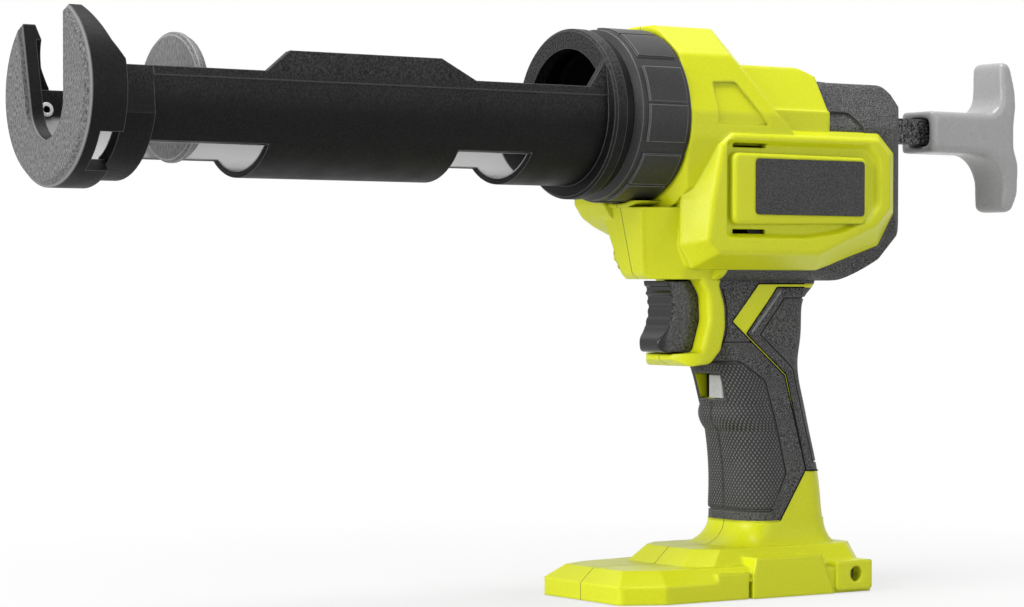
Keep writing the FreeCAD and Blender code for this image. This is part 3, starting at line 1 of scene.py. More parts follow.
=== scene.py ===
# %% [markdown]
# # A cordless caulking tool, dressed from its solids
# The solids of the tool come in as the frame, in metres, standing on the battery foot.
# X runs to the rear along the push rod, Y to the tool's right side and Z up.
# Everything made below is put straight into that frame, so nothing has to be fitted by hand.

# %% Load the frame
import bmesh
import bpy
import json
import math
import numpy as np
from mathutils import Matrix, Vector


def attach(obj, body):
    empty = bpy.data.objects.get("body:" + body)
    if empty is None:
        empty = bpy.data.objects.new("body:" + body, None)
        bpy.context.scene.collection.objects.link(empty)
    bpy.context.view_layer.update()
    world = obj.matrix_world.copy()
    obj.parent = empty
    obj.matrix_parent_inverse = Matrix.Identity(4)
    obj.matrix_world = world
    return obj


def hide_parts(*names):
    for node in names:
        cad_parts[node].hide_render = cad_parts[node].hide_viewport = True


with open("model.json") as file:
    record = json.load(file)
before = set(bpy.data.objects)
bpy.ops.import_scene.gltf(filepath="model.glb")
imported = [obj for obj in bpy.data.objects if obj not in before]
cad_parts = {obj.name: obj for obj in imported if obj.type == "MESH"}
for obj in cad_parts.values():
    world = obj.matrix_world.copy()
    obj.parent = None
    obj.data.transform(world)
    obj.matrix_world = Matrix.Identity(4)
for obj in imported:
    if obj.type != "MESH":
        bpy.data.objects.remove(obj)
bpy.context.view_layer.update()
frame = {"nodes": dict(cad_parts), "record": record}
nodes = frame["nodes"]
scene = bpy.context.scene

# %% [markdown]
# ## Camera
# The photograph is a long-lens studio shot from the front left, almost level with the grip.
# A camera can be aimed with a track constraint, but a pinhole that was measured has a small roll too.
# So the matrix is written from three angles and a place: the view direction, the right and the up.

# %% Camera
FRAME_PIXELS, SENSOR_MM = 1024, 36
FOCAL_PIXELS = 3048.28      # focal length in pixels of that frame
YAW, PITCH, ROLL = (math.radians(v) for v in (34.543, -0.391, 0.196))
EYE = Vector((-0.7782, -0.9892, 0.1270))
ahead = Vector((math.sin(YAW) * math.cos(PITCH), math.cos(YAW) * math.cos(PITCH), math.sin(PITCH)))
level = Vector((math.cos(YAW), -math.sin(YAW), 0))
rise = level.cross(ahead)
right = level * math.cos(ROLL) + rise * math.sin(ROLL)
up = rise * math.cos(ROLL) - level * math.sin(ROLL)
lens = bpy.data.cameras.new("camera")
lens.sensor_width = SENSOR_MM
lens.lens = FOCAL_PIXELS / FRAME_PIXELS * SENSOR_MM
camera = bpy.data.objects.new("camera", lens)
camera.matrix_world = Matrix(((right.x, up.x, -ahead.x, EYE.x), (right.y, up.y, -ahead.y, EYE.y),
                              (right.z, up.z, -ahead.z, EYE.z), (0, 0, 0, 1)))
scene.collection.objects.link(camera)
scene.camera = camera
scene.view_settings.view_transform = "Standard"
print("camera lens", round(lens.lens, 2), "mm")

# %% [markdown]
# ## Floor, world and lamps
# A catalogue shot stands on a white sweep under large soft boxes.
# The floor is a plain sheet that glows white where it is seen, but less so near the tool, so the shadow shows.
# Four area lamps do the work: a key and a low lamp in front, a weak fill from the side and one overhead.

# %% Floor and world
FLOOR_HALF, FLOOR_Z = 12.0, -0.0004                  # metres; a hair under the foot
PAPER_GREY = 0.62
HALO_REACH, HALO_WHITE = (0.05, 0.45), (0.70, 1.0)   # metres from the origin, and the glow there
WORLD_BOUNCED, WORLD_SEEN = 0.20, 1.0


def flat_sheet(name, half, z):
    """A square in the XY plane: the grid x, y in {-half, half} at one height."""
    mesh = bpy.data.meshes.new(name)
    mesh.from_pydata([(-half, -half, z), (half, -half, z), (half, half, z), (-half, half, z)], [], [(0, 1, 2, 3)])
    sheet = bpy.data.objects.new(name, mesh)
    scene.collection.objects.link(sheet)
    return sheet


def span(tree, value, low, high, start=0.0, end=1.0, smooth=False):
    """A value carried from low..high to start..end and held there outside."""
    node = tree.nodes.new("ShaderNodeMapRange")
    node.interpolation_type = "SMOOTHSTEP" if smooth else "LINEAR"
    for key, number in (("From Min", low), ("From Max", high), ("To Min", start), ("To Max", end)):
        node.inputs[key].default_value = number
    tree.links.new(value, node.inputs["Value"])
    return node.outputs["Result"]


def maths(tree, operation, first, second=None):
    """One arithmetic step on sockets or plain numbers."""
    node = tree.nodes.new("ShaderNodeMath")
    node.operation = operation
    for socket, value in zip(node.inputs, (first, second)):
        if isinstance(value, (int, float)):
            socket.default_value = value
        elif value is not None:
            tree.links.new(value, socket)
    return node.outputs[0]


def seen_straight(tree):
    """1 for what the eye sees directly, in a mirror or through glass, 0 for light that bounces off."""
    path = tree.nodes.new("ShaderNodeLightPath")
    bright = maths(tree, "MAXIMUM", path.outputs["Is Camera Ray"], path.outputs["Is Glossy Ray"])
    return maths(tree, "MAXIMUM", bright, path.outputs["Is Transmission Ray"])


floor = flat_sheet("floor", FLOOR_HALF, FLOOR_Z)
white = bpy.data.materials.new("studio_white")
white.use_nodes = True
tree = white.node_tree
tree.nodes.clear()
out = tree.nodes.new("ShaderNodeOutputMaterial")
paper = tree.nodes.new("ShaderNodeBsdfDiffuse")
paper.inputs["Color"].default_value = (PAPER_GREY, PAPER_GREY, PAPER_GREY, 1)
glow = tree.nodes.new("ShaderNodeEmission")
glow.inputs["Strength"].default_value = 1.0
reach = tree.nodes.new("ShaderNodeVectorMath")
reach.operation = "LENGTH"
tree.links.new(tree.nodes.new("ShaderNodeTexCoord").outputs["Object"], reach.inputs[0])
whiteness = span(tree, reach.outputs["Value"], *HALO_REACH, *HALO_WHITE, smooth=True)
mix = tree.nodes.new("ShaderNodeMixShader")
tree.links.new(maths(tree, "MULTIPLY", seen_straight(tree), whiteness), mix.inputs[0])
tree.links.new(paper.outputs[0], mix.inputs[1])
tree.links.new(glow.outputs[0], mix.inputs[2])
tree.links.new(mix.outputs[0], out.inputs[0])
floor.data.materials.append(white)

world = bpy.data.worlds.new("studio")
scene.world = world
world.use_nodes = True
tree = world.node_tree
back = tree.nodes["Background"]
back.inputs["Color"].default_value = (1, 1, 1, 1)
tree.links.new(span(tree, seen_straight(tree), 0, 1, WORLD_BOUNCED, WORLD_SEEN), back.inputs["Strength"])
print("floor and world made")

# %% Lamps
def soft_box(name, place, aim, width, height, watts):
    """A rectangular area lamp at place, facing aim."""
    lamp = bpy.data.lights.new(name, "AREA")
    lamp.shape = "RECTANGLE"
    lamp.size, lamp.size_y, lamp.energy = width, height, watts
    box = bpy.data.objects.new(name, lamp)
    box.location = place
    box.rotation_euler = (Vector(aim) - Vector(place)).to_track_quat("-Z", "Y").to_euler()
    scene.collection.objects.link(box)


MIDDLE = (-0.07, 0.0, 0.13)
soft_box("key", (-1.9, -0.5, 0.95), MIDDLE, 0.9, 0.9, 22)
soft_box("low front", (-1.9, 0.1, 0.35), MIDDLE, 0.8, 0.6, 18)
soft_box("fill", (0.7, -1.8, 0.6), MIDDLE, 1.2, 1.0, 8)
soft_box("overhead", (0.0, -0.1, 1.7), MIDDLE, 1.1, 0.7, 27)

# %% [markdown]
# ## Finishes
# Each moulding on the tool has its own grain: the lime shell is satin, the soft grip is leathery,
# the black trough has a fine spark texture and the front cap is worn.
# A picture could be wrapped on, but noise on object coordinates has a real size in metres and no seams.
# So every finish is one small recipe: a colour that drifts, a roughness that drifts and a grain that lifts.

# %% Finish recipe
SHEEN_SCALE = 90                                # slow drift of the roughness, per metre
EDGE_SAMPLES, CREASE_SAMPLES = 6, 4
# painted shade in creases: how open a crease is, and the share of the dark colour painted there
CREASE_BAND, CREASE_SHADE_DARK = (0.75, 0.25), 0.12   # openness of a crease, and its share of the dark colour
# painted highlight and wear on edges: the band of the cosine over which an edge is painted lighter
WEAR_AND_HIGHLIGHT_BAND = (0.995, 0.93)                        # cosine between the softened and the true normal
METAL_DARK = 0.86


def drift(tree, place, scale, detail, low, high, band=(0.3, 0.7)):
    """Noise of a given scale per metre, mapped from a band of its values to low..high."""
    noise = tree.nodes.new("ShaderNodeTexNoise")
    noise.inputs["Scale"].default_value = scale
    noise.inputs["Detail"].default_value = detail
    tree.links.new(place, noise.inputs["Vector"])
    return span(tree, noise.outputs["Fac"], *band, low, high)


def where_on(tree, stretch=(1, 1, 1)):
    """Object coordinates, in metres, stretched along the axes."""
    place = tree.nodes.new("ShaderNodeTexCoord").outputs["Object"]
    if stretch == (1, 1, 1):
        return place
    turn = tree.nodes.new("ShaderNodeMapping")
    turn.inputs["Scale"].default_value = stretch
    tree.links.new(place, turn.inputs["Vector"])
    return turn.outputs["Vector"]


def blend_colour(tree, factor, first, second):
    """Colour between two ends; each end is a colour or a socket."""
    mix = tree.nodes.new("ShaderNodeMix")
    mix.data_type = "RGBA"
    for key, end in (("A", first), ("B", second)):
        if isinstance(end, bpy.types.NodeSocket):
            tree.links.new(end, mix.inputs[key])
        else:
            mix.inputs[key].default_value = (*end, 1)
    tree.links.new(factor, mix.inputs["Factor"])
    return mix.outputs["Result"]


def recolour(material, mask, colour):
    """Lays a colour over the base colour where a mask socket is 1."""
    tree = material.node_tree
    base = tree.nodes["Principled BSDF"].inputs["Base Color"]
    tree.links.new(blend_colour(tree, mask, base.links[0].from_socket, colour), base)


def moulded(name, dark, light, rough, grain, lift, edge, shine=0.5, wear_and_highlight=None, stretch=(1, 1, 1), fleck=0.45,
            crease=0.0015, band=(0.3, 0.7)):
    """A finish: colour between dark and light, roughness between two ends, a grain of so many bumps per
    metre with its lift in metres, edges softened over a radius in metres, a colour painted on them as wear and
    highlight, and painted shade that darkens creases narrower than a width in metres."""
    material = bpy.data.materials.new(name)
    material.use_nodes = True
    tree = material.node_tree
    shader = tree.nodes["Principled BSDF"]
    shader.inputs["Specular IOR Level"].default_value = shine
    place = where_on(tree, stretch)
    tint = blend_colour(tree, drift(tree, place, grain * fleck, 5, 0, 1, band), dark, light)
    tree.links.new(tint, shader.inputs["Base Color"])
    tree.links.new(drift(tree, place, SHEEN_SCALE, 3, *rough), shader.inputs["Roughness"])
    soft = tree.nodes.new("ShaderNodeBevel")
    soft.samples = EDGE_SAMPLES
    soft.inputs["Radius"].default_value = edge
    bump = tree.nodes.new("ShaderNodeBump")
    bump.inputs["Strength"].default_value = 1.0
    bump.inputs["Distance"].default_value = lift
    tree.links.new(drift(tree, place, grain, 2, 0, 1), bump.inputs["Height"])
    tree.links.new(soft.outputs["Normal"], bump.inputs["Normal"])
    tree.links.new(bump.outputs["Normal"], shader.inputs["Normal"])
    # painted shade: the base colour darkens in creases narrower than the crease width
    if crease:
        shade = tree.nodes.new("ShaderNodeAmbientOcclusion")
        shade.samples = CREASE_SAMPLES
        shade.inputs["Distance"].default_value = crease
        recolour(material, span(tree, shade.outputs["AO"], *CREASE_BAND), [c * CREASE_SHADE_DARK for c in dark])
    # painted highlight and wear: edges, where the softened normal turns from the true one, get a lighter colour
    if wear_and_highlight:
        turn = tree.nodes.new("ShaderNodeVectorMath")
        turn.operation = "DOT_PRODUCT"
        tree.links.new(soft.outputs["Normal"], turn.inputs[0])
        tree.links.new(tree.nodes.new("ShaderNodeNewGeometry").outputs["Normal"], turn.inputs[1])
        recolour(material, span(tree, turn.outputs["Value"], *WEAR_AND_HIGHLIGHT_BAND), wear_and_highlight)
    return material


def turned_metal(name, colour, rough):
    """Bright metal: full metallic, roughness that drifts in fine streaks round the part."""
    material = moulded(name, [c * METAL_DARK for c in colour], colour, rough, grain=900, lift=0.000006,
                       edge=0.0003, stretch=(4, 1, 1))
    material.node_tree.nodes["Principled BSDF"].inputs["Metallic"].default_value = 1.0
    return material


def axis_of(material, name):
    """One object coordinate of a finish, in metres."""
    tree = material.node_tree
    split = tree.nodes.new("ShaderNodeSeparateXYZ")
    tree.links.new(where_on(tree), split.inputs[0])
    return split.outputs[name]


print("recipe ready")

# %% [markdown]
# ## Lime shell
# The two halves of the housing are moulded in a bright lime and meet on the middle plane.
# The parting line is a hair-thin groove; drawn as a dark line where Y is nearly zero it follows every curve.

# %% Lime shell
PARTING_BAND = (0.00026, 0.00012)   # metres off the middle plane, from no line to full line
lime = moulded("satin_lime", (0.575, 0.611, 0.005), (0.622, 0.658, 0.009), (0.32, 0.42), grain=2600,
               lift=0.000012, edge=0.0018, shine=0.3, wear_and_highlight=(0.68, 0.73, 0.02))
tree = lime.node_tree
off_middle = maths(tree, "ABSOLUTE", axis_of(lime, "Y"))
recolour(lime, span(tree, off_middle, *PARTING_BAND), (0.20, 0.22, 0.002))
print("finish", lime.name)

# %% [markdown]
# ## Soft charcoal, blacks and greys
# The overmoulded grip has a coarse leather grain that sparkles, so its flecks swing far from dark to light.
# The black pieces are nearly matt, with edges painted lighter as highlight and wear; the cap and the disc are rubbed
# bare.

# %% Soft charcoal, blacks and greys
charcoal = moulded("grained_charcoal", (0.003, 0.003, 0.0033), (0.165, 0.165, 0.168), (0.5, 0.7), grain=2200,
                   lift=0.00025, edge=0.0008, shine=0.3, wear_and_highlight=(0.12, 0.12, 0.12), fleck=0.9, band=(0.39, 0.68))
black = moulded("spark_black", (0.0015, 0.0015, 0.0017), (0.009, 0.009, 0.0094), (0.42, 0.56), grain=2400,
                lift=0.00005, edge=0.0006, shine=0.12, wear_and_highlight=(0.11, 0.11, 0.11), fleck=0.5)
collar_black = moulded("collar_black", (0.012, 0.012, 0.0125), (0.024, 0.024, 0.025), (0.36, 0.5), grain=2400,
                       lift=0.00005, edge=0.0007, shine=0.3, wear_and_highlight=(0.17, 0.17, 0.17))
trigger_black = moulded("smooth_black", (0.004, 0.004, 0.0045), (0.007, 0.007, 0.0075), (0.16, 0.24), grain=1800,
                        lift=0.000012, edge=0.0008, shine=0.4, crease=0)
worn_grey = moulded("worn_grey", (0.045, 0.045, 0.045), (0.19, 0.19, 0.19), (0.4, 0.6), grain=2600, lift=0.00008,
                    edge=0.0009, shine=0.4, wear_and_highlight=(0.42, 0.42, 0.42), stretch=(1, 1, 0.3), fleck=0.6)
handle_grey = moulded("handle_grey", (0.31, 0.31, 0.312), (0.36, 0.36, 0.362), (0.24, 0.34), grain=2200,
                      lift=0.00002, edge=0.0012, crease=0)
button_grey = moulded("button_grey", (0.34, 0.34, 0.34), (0.42, 0.42, 0.42), (0.36, 0.46), grain=2200,
                      lift=0.00002, edge=0.0006)
badge_black = moulded("badge_charcoal", (0.012, 0.012, 0.0125), (0.072, 0.072, 0.074), (0.46, 0.6), grain=1700,
                      lift=0.00005, edge=0.0005, shine=0.25, fleck=0.9, band=(0.36, 0.66))
rod_black = moulded("flecked_rod", (0.003, 0.003, 0.003), (0.20, 0.20, 0.20), (0.35, 0.55), grain=1200, lift=0.00010,
                    edge=0.0004, shine=0.2, fleck=0.9, band=(0.42, 0.68))
board_green = moulded("board_green", (0.01, 0.09, 0.03), (0.015, 0.12, 0.04), (0.4, 0.5), grain=1200,
                      lift=0.00001, edge=0.0003)
steel = turned_metal("turned_steel", (0.42, 0.42, 0.43), (0.26, 0.42))
dark_steel = turned_metal("dark_steel", (0.20, 0.20, 0.205), (0.34, 0.5))
bronze = turned_metal("sintered_bronze", (0.55, 0.36, 0.16), (0.35, 0.5))
print("finishes:", [m.name for m in bpy.data.materials if m.users == 0])

# %% [markdown]
# ## Two-tone pieces
# The front cap is rubbed grey on its front face and still black on its skirt and in its slot.
# The trough is painted pale inside, low down, as painted light from the lamps above, and flecks of painted highlight
# lighten its wall toward the top.
# Both are told apart by where a point lies, so the change follows the solid and not the view.

# %% Two-tone pieces
# places in metres; over means above the barrel's axis
CAP_FACE_X = -0.2985
AXIS_Z = 0.1943
BORE_R, BORE_BLUR = 0.0266, 0.0003
TOP_HIGHLIGHT_OVER = (-0.005, 0.019)
PALE_OVER = (-0.007, -0.009)
PALE_END_X, PALE_BLUR = -0.088, 0.0005
GROOVE_X, GROOVE_BLUR = (-0.0659, -0.0600), 0.0002
cap_two_tone = black.copy()
cap_two_tone.name = "rubbed_cap"
tree = cap_two_tone.node_tree
streaks = drift(tree, where_on(tree, (1, 1, 0.4)), 1700, 4, 0, 1)
brushed = blend_colour(tree, streaks, (0.035, 0.035, 0.035), (0.205, 0.205, 0.205))
pits = drift(tree, where_on(tree), 1500, 2, 0, 0.5, band=(0.52, 0.66))
brushed = blend_colour(tree, pits, brushed, (0.03, 0.03, 0.03))
along = axis_of(cap_two_tone, "X")
recolour(cap_two_tone, span(tree, along, CAP_FACE_X + 0.0008, CAP_FACE_X - 0.0002), brushed)
# painted highlight and wear: a thin lighter ring on the edge just behind the front face
rim_wear_and_highlight = maths(tree, "MULTIPLY", span(tree, along, CAP_FACE_X + 0.0010, CAP_FACE_X + 0.0006),
            span(tree, along, CAP_FACE_X - 0.0002, CAP_FACE_X + 0.0003))
recolour(cap_two_tone, rim_wear_and_highlight, (0.19, 0.19, 0.19))

trough_two_tone = black.copy()
trough_two_tone.name = "trough_black"
tree = trough_two_tone.node_tree
over_axis = maths(tree, "SUBTRACT", axis_of(trough_two_tone, "Z"), AXIS_Z)
# painted highlight: lighter flecks on the wall above the axis, where the light from above falls
sparks = drift(tree, where_on(tree), 1300, 3, 0, 1, band=(0.38, 0.70))
top_highlight = maths(tree, "MULTIPLY", span(tree, over_axis, *TOP_HIGHLIGHT_OVER), sparks)
recolour(trough_two_tone, top_highlight, (0.058, 0.058, 0.059))
along = axis_of(trough_two_tone, "X")
across = axis_of(trough_two_tone, "Y")
squared = maths(tree, "ADD", maths(tree, "MULTIPLY", over_axis, over_axis),
                maths(tree, "MULTIPLY", across, across))
# painted light: the bore's inside, low down and before the cup, is painted pale grey as if lit from above
inside = span(tree, maths(tree, "SQRT", squared), BORE_R, BORE_R - BORE_BLUR)
lit_low_down = span(tree, over_axis, *PALE_OVER)
before_cup = span(tree, along, PALE_END_X + PALE_BLUR, PALE_END_X - PALE_BLUR)
lit_low_down = maths(tree, "MULTIPLY", lit_low_down, before_cup)
recolour(trough_two_tone, maths(tree, "MULTIPLY", inside, lit_low_down), (0.42, 0.42, 0.42))
# painted shade: the groove across the trough is painted near black
groove_shade = maths(tree, "MULTIPLY", span(tree, along, GROOVE_X[0], GROOVE_X[0] + GROOVE_BLUR),
                  span(tree, along, GROOVE_X[1] + GROOVE_BLUR, GROOVE_X[1]))
recolour(trough_two_tone, groove_shade, (0.001, 0.001, 0.001))
print("two-tone:", cap_two_tone.name, trough_two_tone.name)

# %% [markdown]
# ## Dressing the solids
# Every solid carries the name of the moulding or metal it is made of, as on a parts list.
# Going through that list leaves no piece bare; a few pieces have a finish of their own, which goes first.

# %% Put the finishes on the solids
FINISH_OF = {"lime_shell": lime, "soft_grip": charcoal, "badge": badge_black, "black_plastic": black,
             "trigger_black": trigger_black, "cap_grey": cap_two_tone, "handle_grey": handle_grey,
             "button_grey": button_grey, "steel": steel, "bronze": bronze, "board": board_green}
FINISH_OF_NODE = {"cartridge_frame": trough_two_tone, "push_rod": rod_black, "plunger_disc": worn_grey,
                  "plunger_screw": dark_steel, "lock_collar": collar_black, "nose_ring": collar_black}
for part in frame["record"]["subparts"]:
    solid = nodes[part["node"]]
    solid.data.materials.clear()
    solid.data.materials.append(FINISH_OF_NODE.get(part["node"], FINISH_OF[part["material_slot"]]))

# %% [markdown]
# ## Textured palm panels
# Round the grip, inside the sunk line, the soft moulding has a weave of small raised lozenges for a firm hold.
# A bump map would do from afar, but real relief also shows on the outline and in the exported mesh.
# The grip is a rounded rectangle at every height, so a point is found from its height and its way round the
# outline; the lozenges are the product of two slanting waves.

# %% The grip's outline
MM = 0.001
# height, front, back, half width and corner radius, in millimetres
GRIP_ROWS = np.array([(24, 9.6, 54, 18, 11), (48, 9.3, 51.8, 17.4, 12), (66, 6.6, 47.8, 16.8, 12.5),
                      (80, 2.4, 44.6, 16.3, 12.5), (92, -1.5, 41.8, 16, 12), (104, -7, 41.8, 15.5, 8.5),
                      (118, -8.6, 42.2, 15.5, 7)])
RIDGE_ROWS = np.array([(77.2, -0.4), (72.8, 1.9), (66, -0.4)])
RIDGE_CURVE = np.polyfit(RIDGE_ROWS[:, 0], RIDGE_ROWS[:, 1], 2)


def grip_station(z):
    """Front, back, half width and radius at heights z: cubic curves through the rows, each with the slope
    of the chord between its neighbours; the finger ridge pushes the front out along a parabola."""
    rows = GRIP_ROWS
    i = np.clip(np.searchsorted(rows[:, 0], z, side="right") - 1, 0, len(rows) - 2)
    before, start, end = rows[np.maximum(i - 1, 0)], rows[i], rows[i + 1]
    after = rows[np.minimum(i + 2, len(rows) - 1)]
    length = (end - start)[:, :1]
    t = (z[:, None] - start[:, :1]) / length
    slope_start = (end - before)[:, 1:] / (end - before)[:, :1] * length
    slope_end = (after - start)[:, 1:] / (after - start)[:, :1] * length
    curve = (start[:, 1:] * (2 * t ** 3 - 3 * t ** 2 + 1) + end[:, 1:] * (3 * t ** 2 - 2 * t ** 3)
             + slope_start * (t ** 3 - 2 * t ** 2 + t) + slope_end * (t ** 3 - t ** 2))
    front, rear, half, radius = curve.T
    return front - np.maximum(np.polyval(RIDGE_CURVE, z), 0), rear, half, radius


def round_the_grip(way, z):
    """Point and outward normal at a way round the outline from the front's middle: first along the flat
    front, then a quarter circle, then straight back along the side."""
    front, _, half, radius = (v[:, None] for v in grip_station(z))
    flat = half - radius
    turn = np.clip((way - flat) / radius, 0, np.pi / 2)
    past = np.maximum(way - flat - radius * np.pi / 2, 0)
    x = front + radius * (1 - np.cos(turn)) + past
    y = np.minimum(way, flat) + radius * np.sin(turn)
    return x, y, -np.cos(turn), np.sin(turn)


print("grip at mid height:", [round(float(v[0]), 1) for v in grip_station(np.array([60.0]))])

# %% Palm panels
PANEL_BORDER = np.array([(33, 20.6), (48.7, 28.0), (68.7, 23.2), (87.3, 17.4), (95.6, 4.0)])   # height, rear end
PANEL_Z, PANEL_WALL = (34.0, 94.6), 0.7
PANEL_STEP_Z, PANEL_STEPS = 0.20, 150
WEAVE_ROUND, WEAVE_UP = 1.7, 2.3       # pitch of the lozenges round the grip and up it
WEAVE_LIFT, PANEL_RAISE, PANEL_FADE = 0.34, 0.10, 0.9
WINDOW_Z, WINDOW_HALF = (78.4, 91.0), 9.3
SEAM_HALF = 0.22


def way_to(x, z):
    """Way round the outline at which it has reached x."""
    front, _, half, radius = grip_station(z)
    turn = np.arccos(np.clip(1 - (x - front) / radius, 0, 1))
    return half - radius + radius * turn + np.maximum(x - front - radius, 0)


def panel_patch(z_low, z_high, start, side, fade_low, fade_high):
    """Grid of heights and ways round the grip from a start to the panel's border. The lift is the product of
    two slanting cosine waves, and it fades out towards the panel's edges."""
    z = np.linspace(z_low, z_high, max(int((z_high - z_low) / PANEL_STEP_Z), 4))
    end = way_to(np.interp(z, PANEL_BORDER[:, 0], PANEL_BORDER[:, 1]), z)
    way = start + (end - start)[:, None] * np.linspace(0, 1, PANEL_STEPS)[None, :]
    up = np.broadcast_to(z[:, None], way.shape)
    x, y, nx, ny = round_the_grip(way, z)
    wave_a = 0.5 + 0.5 * np.cos(2 * np.pi * (way / WEAVE_ROUND + up / WEAVE_UP))
    wave_b = 0.5 + 0.5 * np.cos(2 * np.pi * (way / WEAVE_ROUND - up / WEAVE_UP))
    edge = np.minimum(way - start, end[:, None] - way)
    edge = np.minimum(edge, up - z_low if fade_low else edge)
    edge = np.minimum(edge, z_high - up if fade_high else edge)
    relief = np.sqrt(wave_a * wave_b) * np.clip(edge / PANEL_FADE, 0, 1)
    lift = PANEL_RAISE + WEAVE_LIFT * relief
    points = np.stack([x + nx * lift, side * (y + ny * lift), up], axis=-1) * MM
    return points, relief


def grid_faces(rows, columns, first, flip):
    """Quads of a grid whose points start at index first; flip turns them over."""
    corner = first + np.arange(rows - 1)[:, None] * columns + np.arange(columns - 1)[None, :]
    quads = np.stack([corner, corner + 1, corner + columns + 1, corner + columns], axis=-1).reshape(-1, 4)
    return quads[:, ::-1] if flip else quads


def mesh_piece(name, points, quads, finish, body):
    """Puts arrays of points and quads into a smooth mesh object that rides on a body."""
    mesh = bpy.data.meshes.new(name)
    mesh.vertices.add(len(points))
    mesh.vertices.foreach_set("co", np.ascontiguousarray(points, dtype=np.float32).ravel())
    mesh.loops.add(quads.size)
    mesh.loops.foreach_set("vertex_index", np.ascontiguousarray(quads, dtype=np.int32).ravel())
    mesh.polygons.add(len(quads))
    mesh.polygons.foreach_set("loop_start", np.arange(0, quads.size, 4, dtype=np.int32))
    mesh.polygons.foreach_set("use_smooth", np.ones(len(quads), dtype=bool))
    mesh.update(calc_edges=True)
    mesh.validate()
    mesh.materials.append(finish)
    piece = bpy.data.objects.new(name, mesh)
    scene.collection.objects.link(piece)
    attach(piece, body)
    return piece


weave = moulded("woven_charcoal", (0.004, 0.004, 0.0045), (0.012, 0.012, 0.0125), (0.45, 0.65), grain=2600,
                lift=0.00005, edge=0.0002, shine=0.4)
tree = weave.node_tree
# painted light and shade: the crests of the lozenges are painted lighter, the valleys keep the dark colour
crest_light = tree.nodes.new("ShaderNodeAttribute")
crest_light.attribute_name = "relief"
recolour(weave, span(tree, crest_light.outputs["Fac"], 0.25, 0.95), (0.118, 0.118, 0.121))

for name, side in (("palm_panel_left", -1), ("palm_panel_right", 1)):
    patches = [panel_patch(PANEL_Z[0], WINDOW_Z[0], SEAM_HALF, side, True, False),
               panel_patch(*WINDOW_Z, WINDOW_HALF, side, False, False),
               panel_patch(WINDOW_Z[1], PANEL_Z[1], SEAM_HALF, side, False, True)]
    points = np.concatenate([grid.reshape(-1, 3) for grid, _ in patches])
    relief = np.concatenate([crests.ravel() for _, crests in patches])
    firsts = np.cumsum([0] + [crests.size for _, crests in patches])
    quads = np.concatenate([grid_faces(*crests.shape, first, side > 0)
                            for (_, crests), first in zip(patches, firsts)])
    panel = mesh_piece(name, points, quads, weave, "housing")
    panel.data.attributes.new("relief", "FLOAT", "POINT").data.foreach_set("value", relief.astype(np.float32))
    wall = panel.modifiers.new("wall", "SOLIDIFY")
    wall.thickness = PANEL_WALL * MM
    wall.offset = -1
    print(name, len(points), "points", len(quads), "quads")

# %% [markdown]
# ## Shadow gaps
# Where the soft sleeve and the strap end against the lime shell there is a gap as fine as a hair, and it
# shows as a dark line. A groove could be cut, but the solids stay as they are, so a dark thread is laid along
# each border and half sunk in the surface.

# %% Shadow gaps
SLEEVE_BORDER = [(24.4, 28.5), (39, 50), (28.5, 89), (7.4, 106.4), (1.2, 111.4), (15.2, 127), (40, 127)]
STRAP_BORDER = [(40, 125.4), (25, 125.4), (8.8, 106.4), (29.4, 89.4), (39.2, 49.5), (46, 49.5)]
GUARD_BORDER = [(-3.0, 101.2), (-1.8, 105.6), (-1.4, 110), (-1.6, 116), (-2.6, 121), (-4.0, 125)]
STRAP_BEVEL = [(27.2, 124.3), (11.4, 106.6)]
GAP_R, GAP_SINK = 0.34, 0.12
BEVEL_R, BEVEL_SINK = 0.9, 0.62
THREAD_SIDES, THREAD_STEP, THREAD_TIP_R = 8, 0.7, 0.02


def along_path(corners, step):
    """Points every step along a chain of straight lines."""
    corners = np.array(corners, dtype=float)
    reach = np.concatenate([[0], np.cumsum(np.linalg.norm(np.diff(corners, axis=0), axis=1))])
    at = np.linspace(0, reach[-1], int(reach[-1] / step) + 2)
    return np.stack([np.interp(at, reach, corners[:, k]) for k in (0, 1)], axis=1)


def thread(path, out, radius):
    """A round thread swept along a path: rings of points round it, spanned by the outward direction and the
    direction square to both it and the path, with a first and a last ring drawn in to close the ends."""
    ahead = np.gradient(path, axis=0)
    ahead /= np.linalg.norm(ahead, axis=1)[:, None]
    aside = np.cross(out, ahead)
    aside /= np.linalg.norm(aside, axis=1)[:, None]
    turn = np.linspace(0, 2 * np.pi, THREAD_SIDES, endpoint=False)[None, :, None]
    size = np.full(len(path), radius)
    size[[0, -1]] = THREAD_TIP_R
    spokes = np.cos(turn) * out[:, None, :] + np.sin(turn) * aside[:, None, :]
    rings = path[:, None, :] + size[:, None, None] * spokes
    i = np.arange(len(path) - 1)[:, None] * THREAD_SIDES
    j = np.arange(THREAD_SIDES)[None, :]
    k = (j + 1) % THREAD_SIDES
    quads = np.stack([i + j, i + k, i + THREAD_SIDES + k, i + THREAD_SIDES + j], axis=-1).reshape(-1, 4)
    return rings.reshape(-1, 3), quads


def threads_on_grip(name, borders, radius, sink, finish):
    """Threads along side-view borders, on both sides of the grip, each sunk a little under its surface."""
    points, quads, count = [], [], 0
    for border in borders:
        x, z = along_path(border, THREAD_STEP).T
        x, y, nx, ny = (v[:, 0] for v in round_the_grip(way_to(x, z)[:, None], z))
        out = np.stack([nx, ny, 0 * nx], axis=1)
        path = np.stack([x, y, z], axis=1) - sink * out
        for side in (-1, 1):
            mirror = np.array([1, side, 1])
            rings, faces = thread(path * mirror, out * mirror, radius)
            points.append(rings)
            quads.append(faces + count)
            count += len(rings)
    return mesh_piece(name, np.concatenate(points) * MM, np.concatenate(quads), finish, "housing")


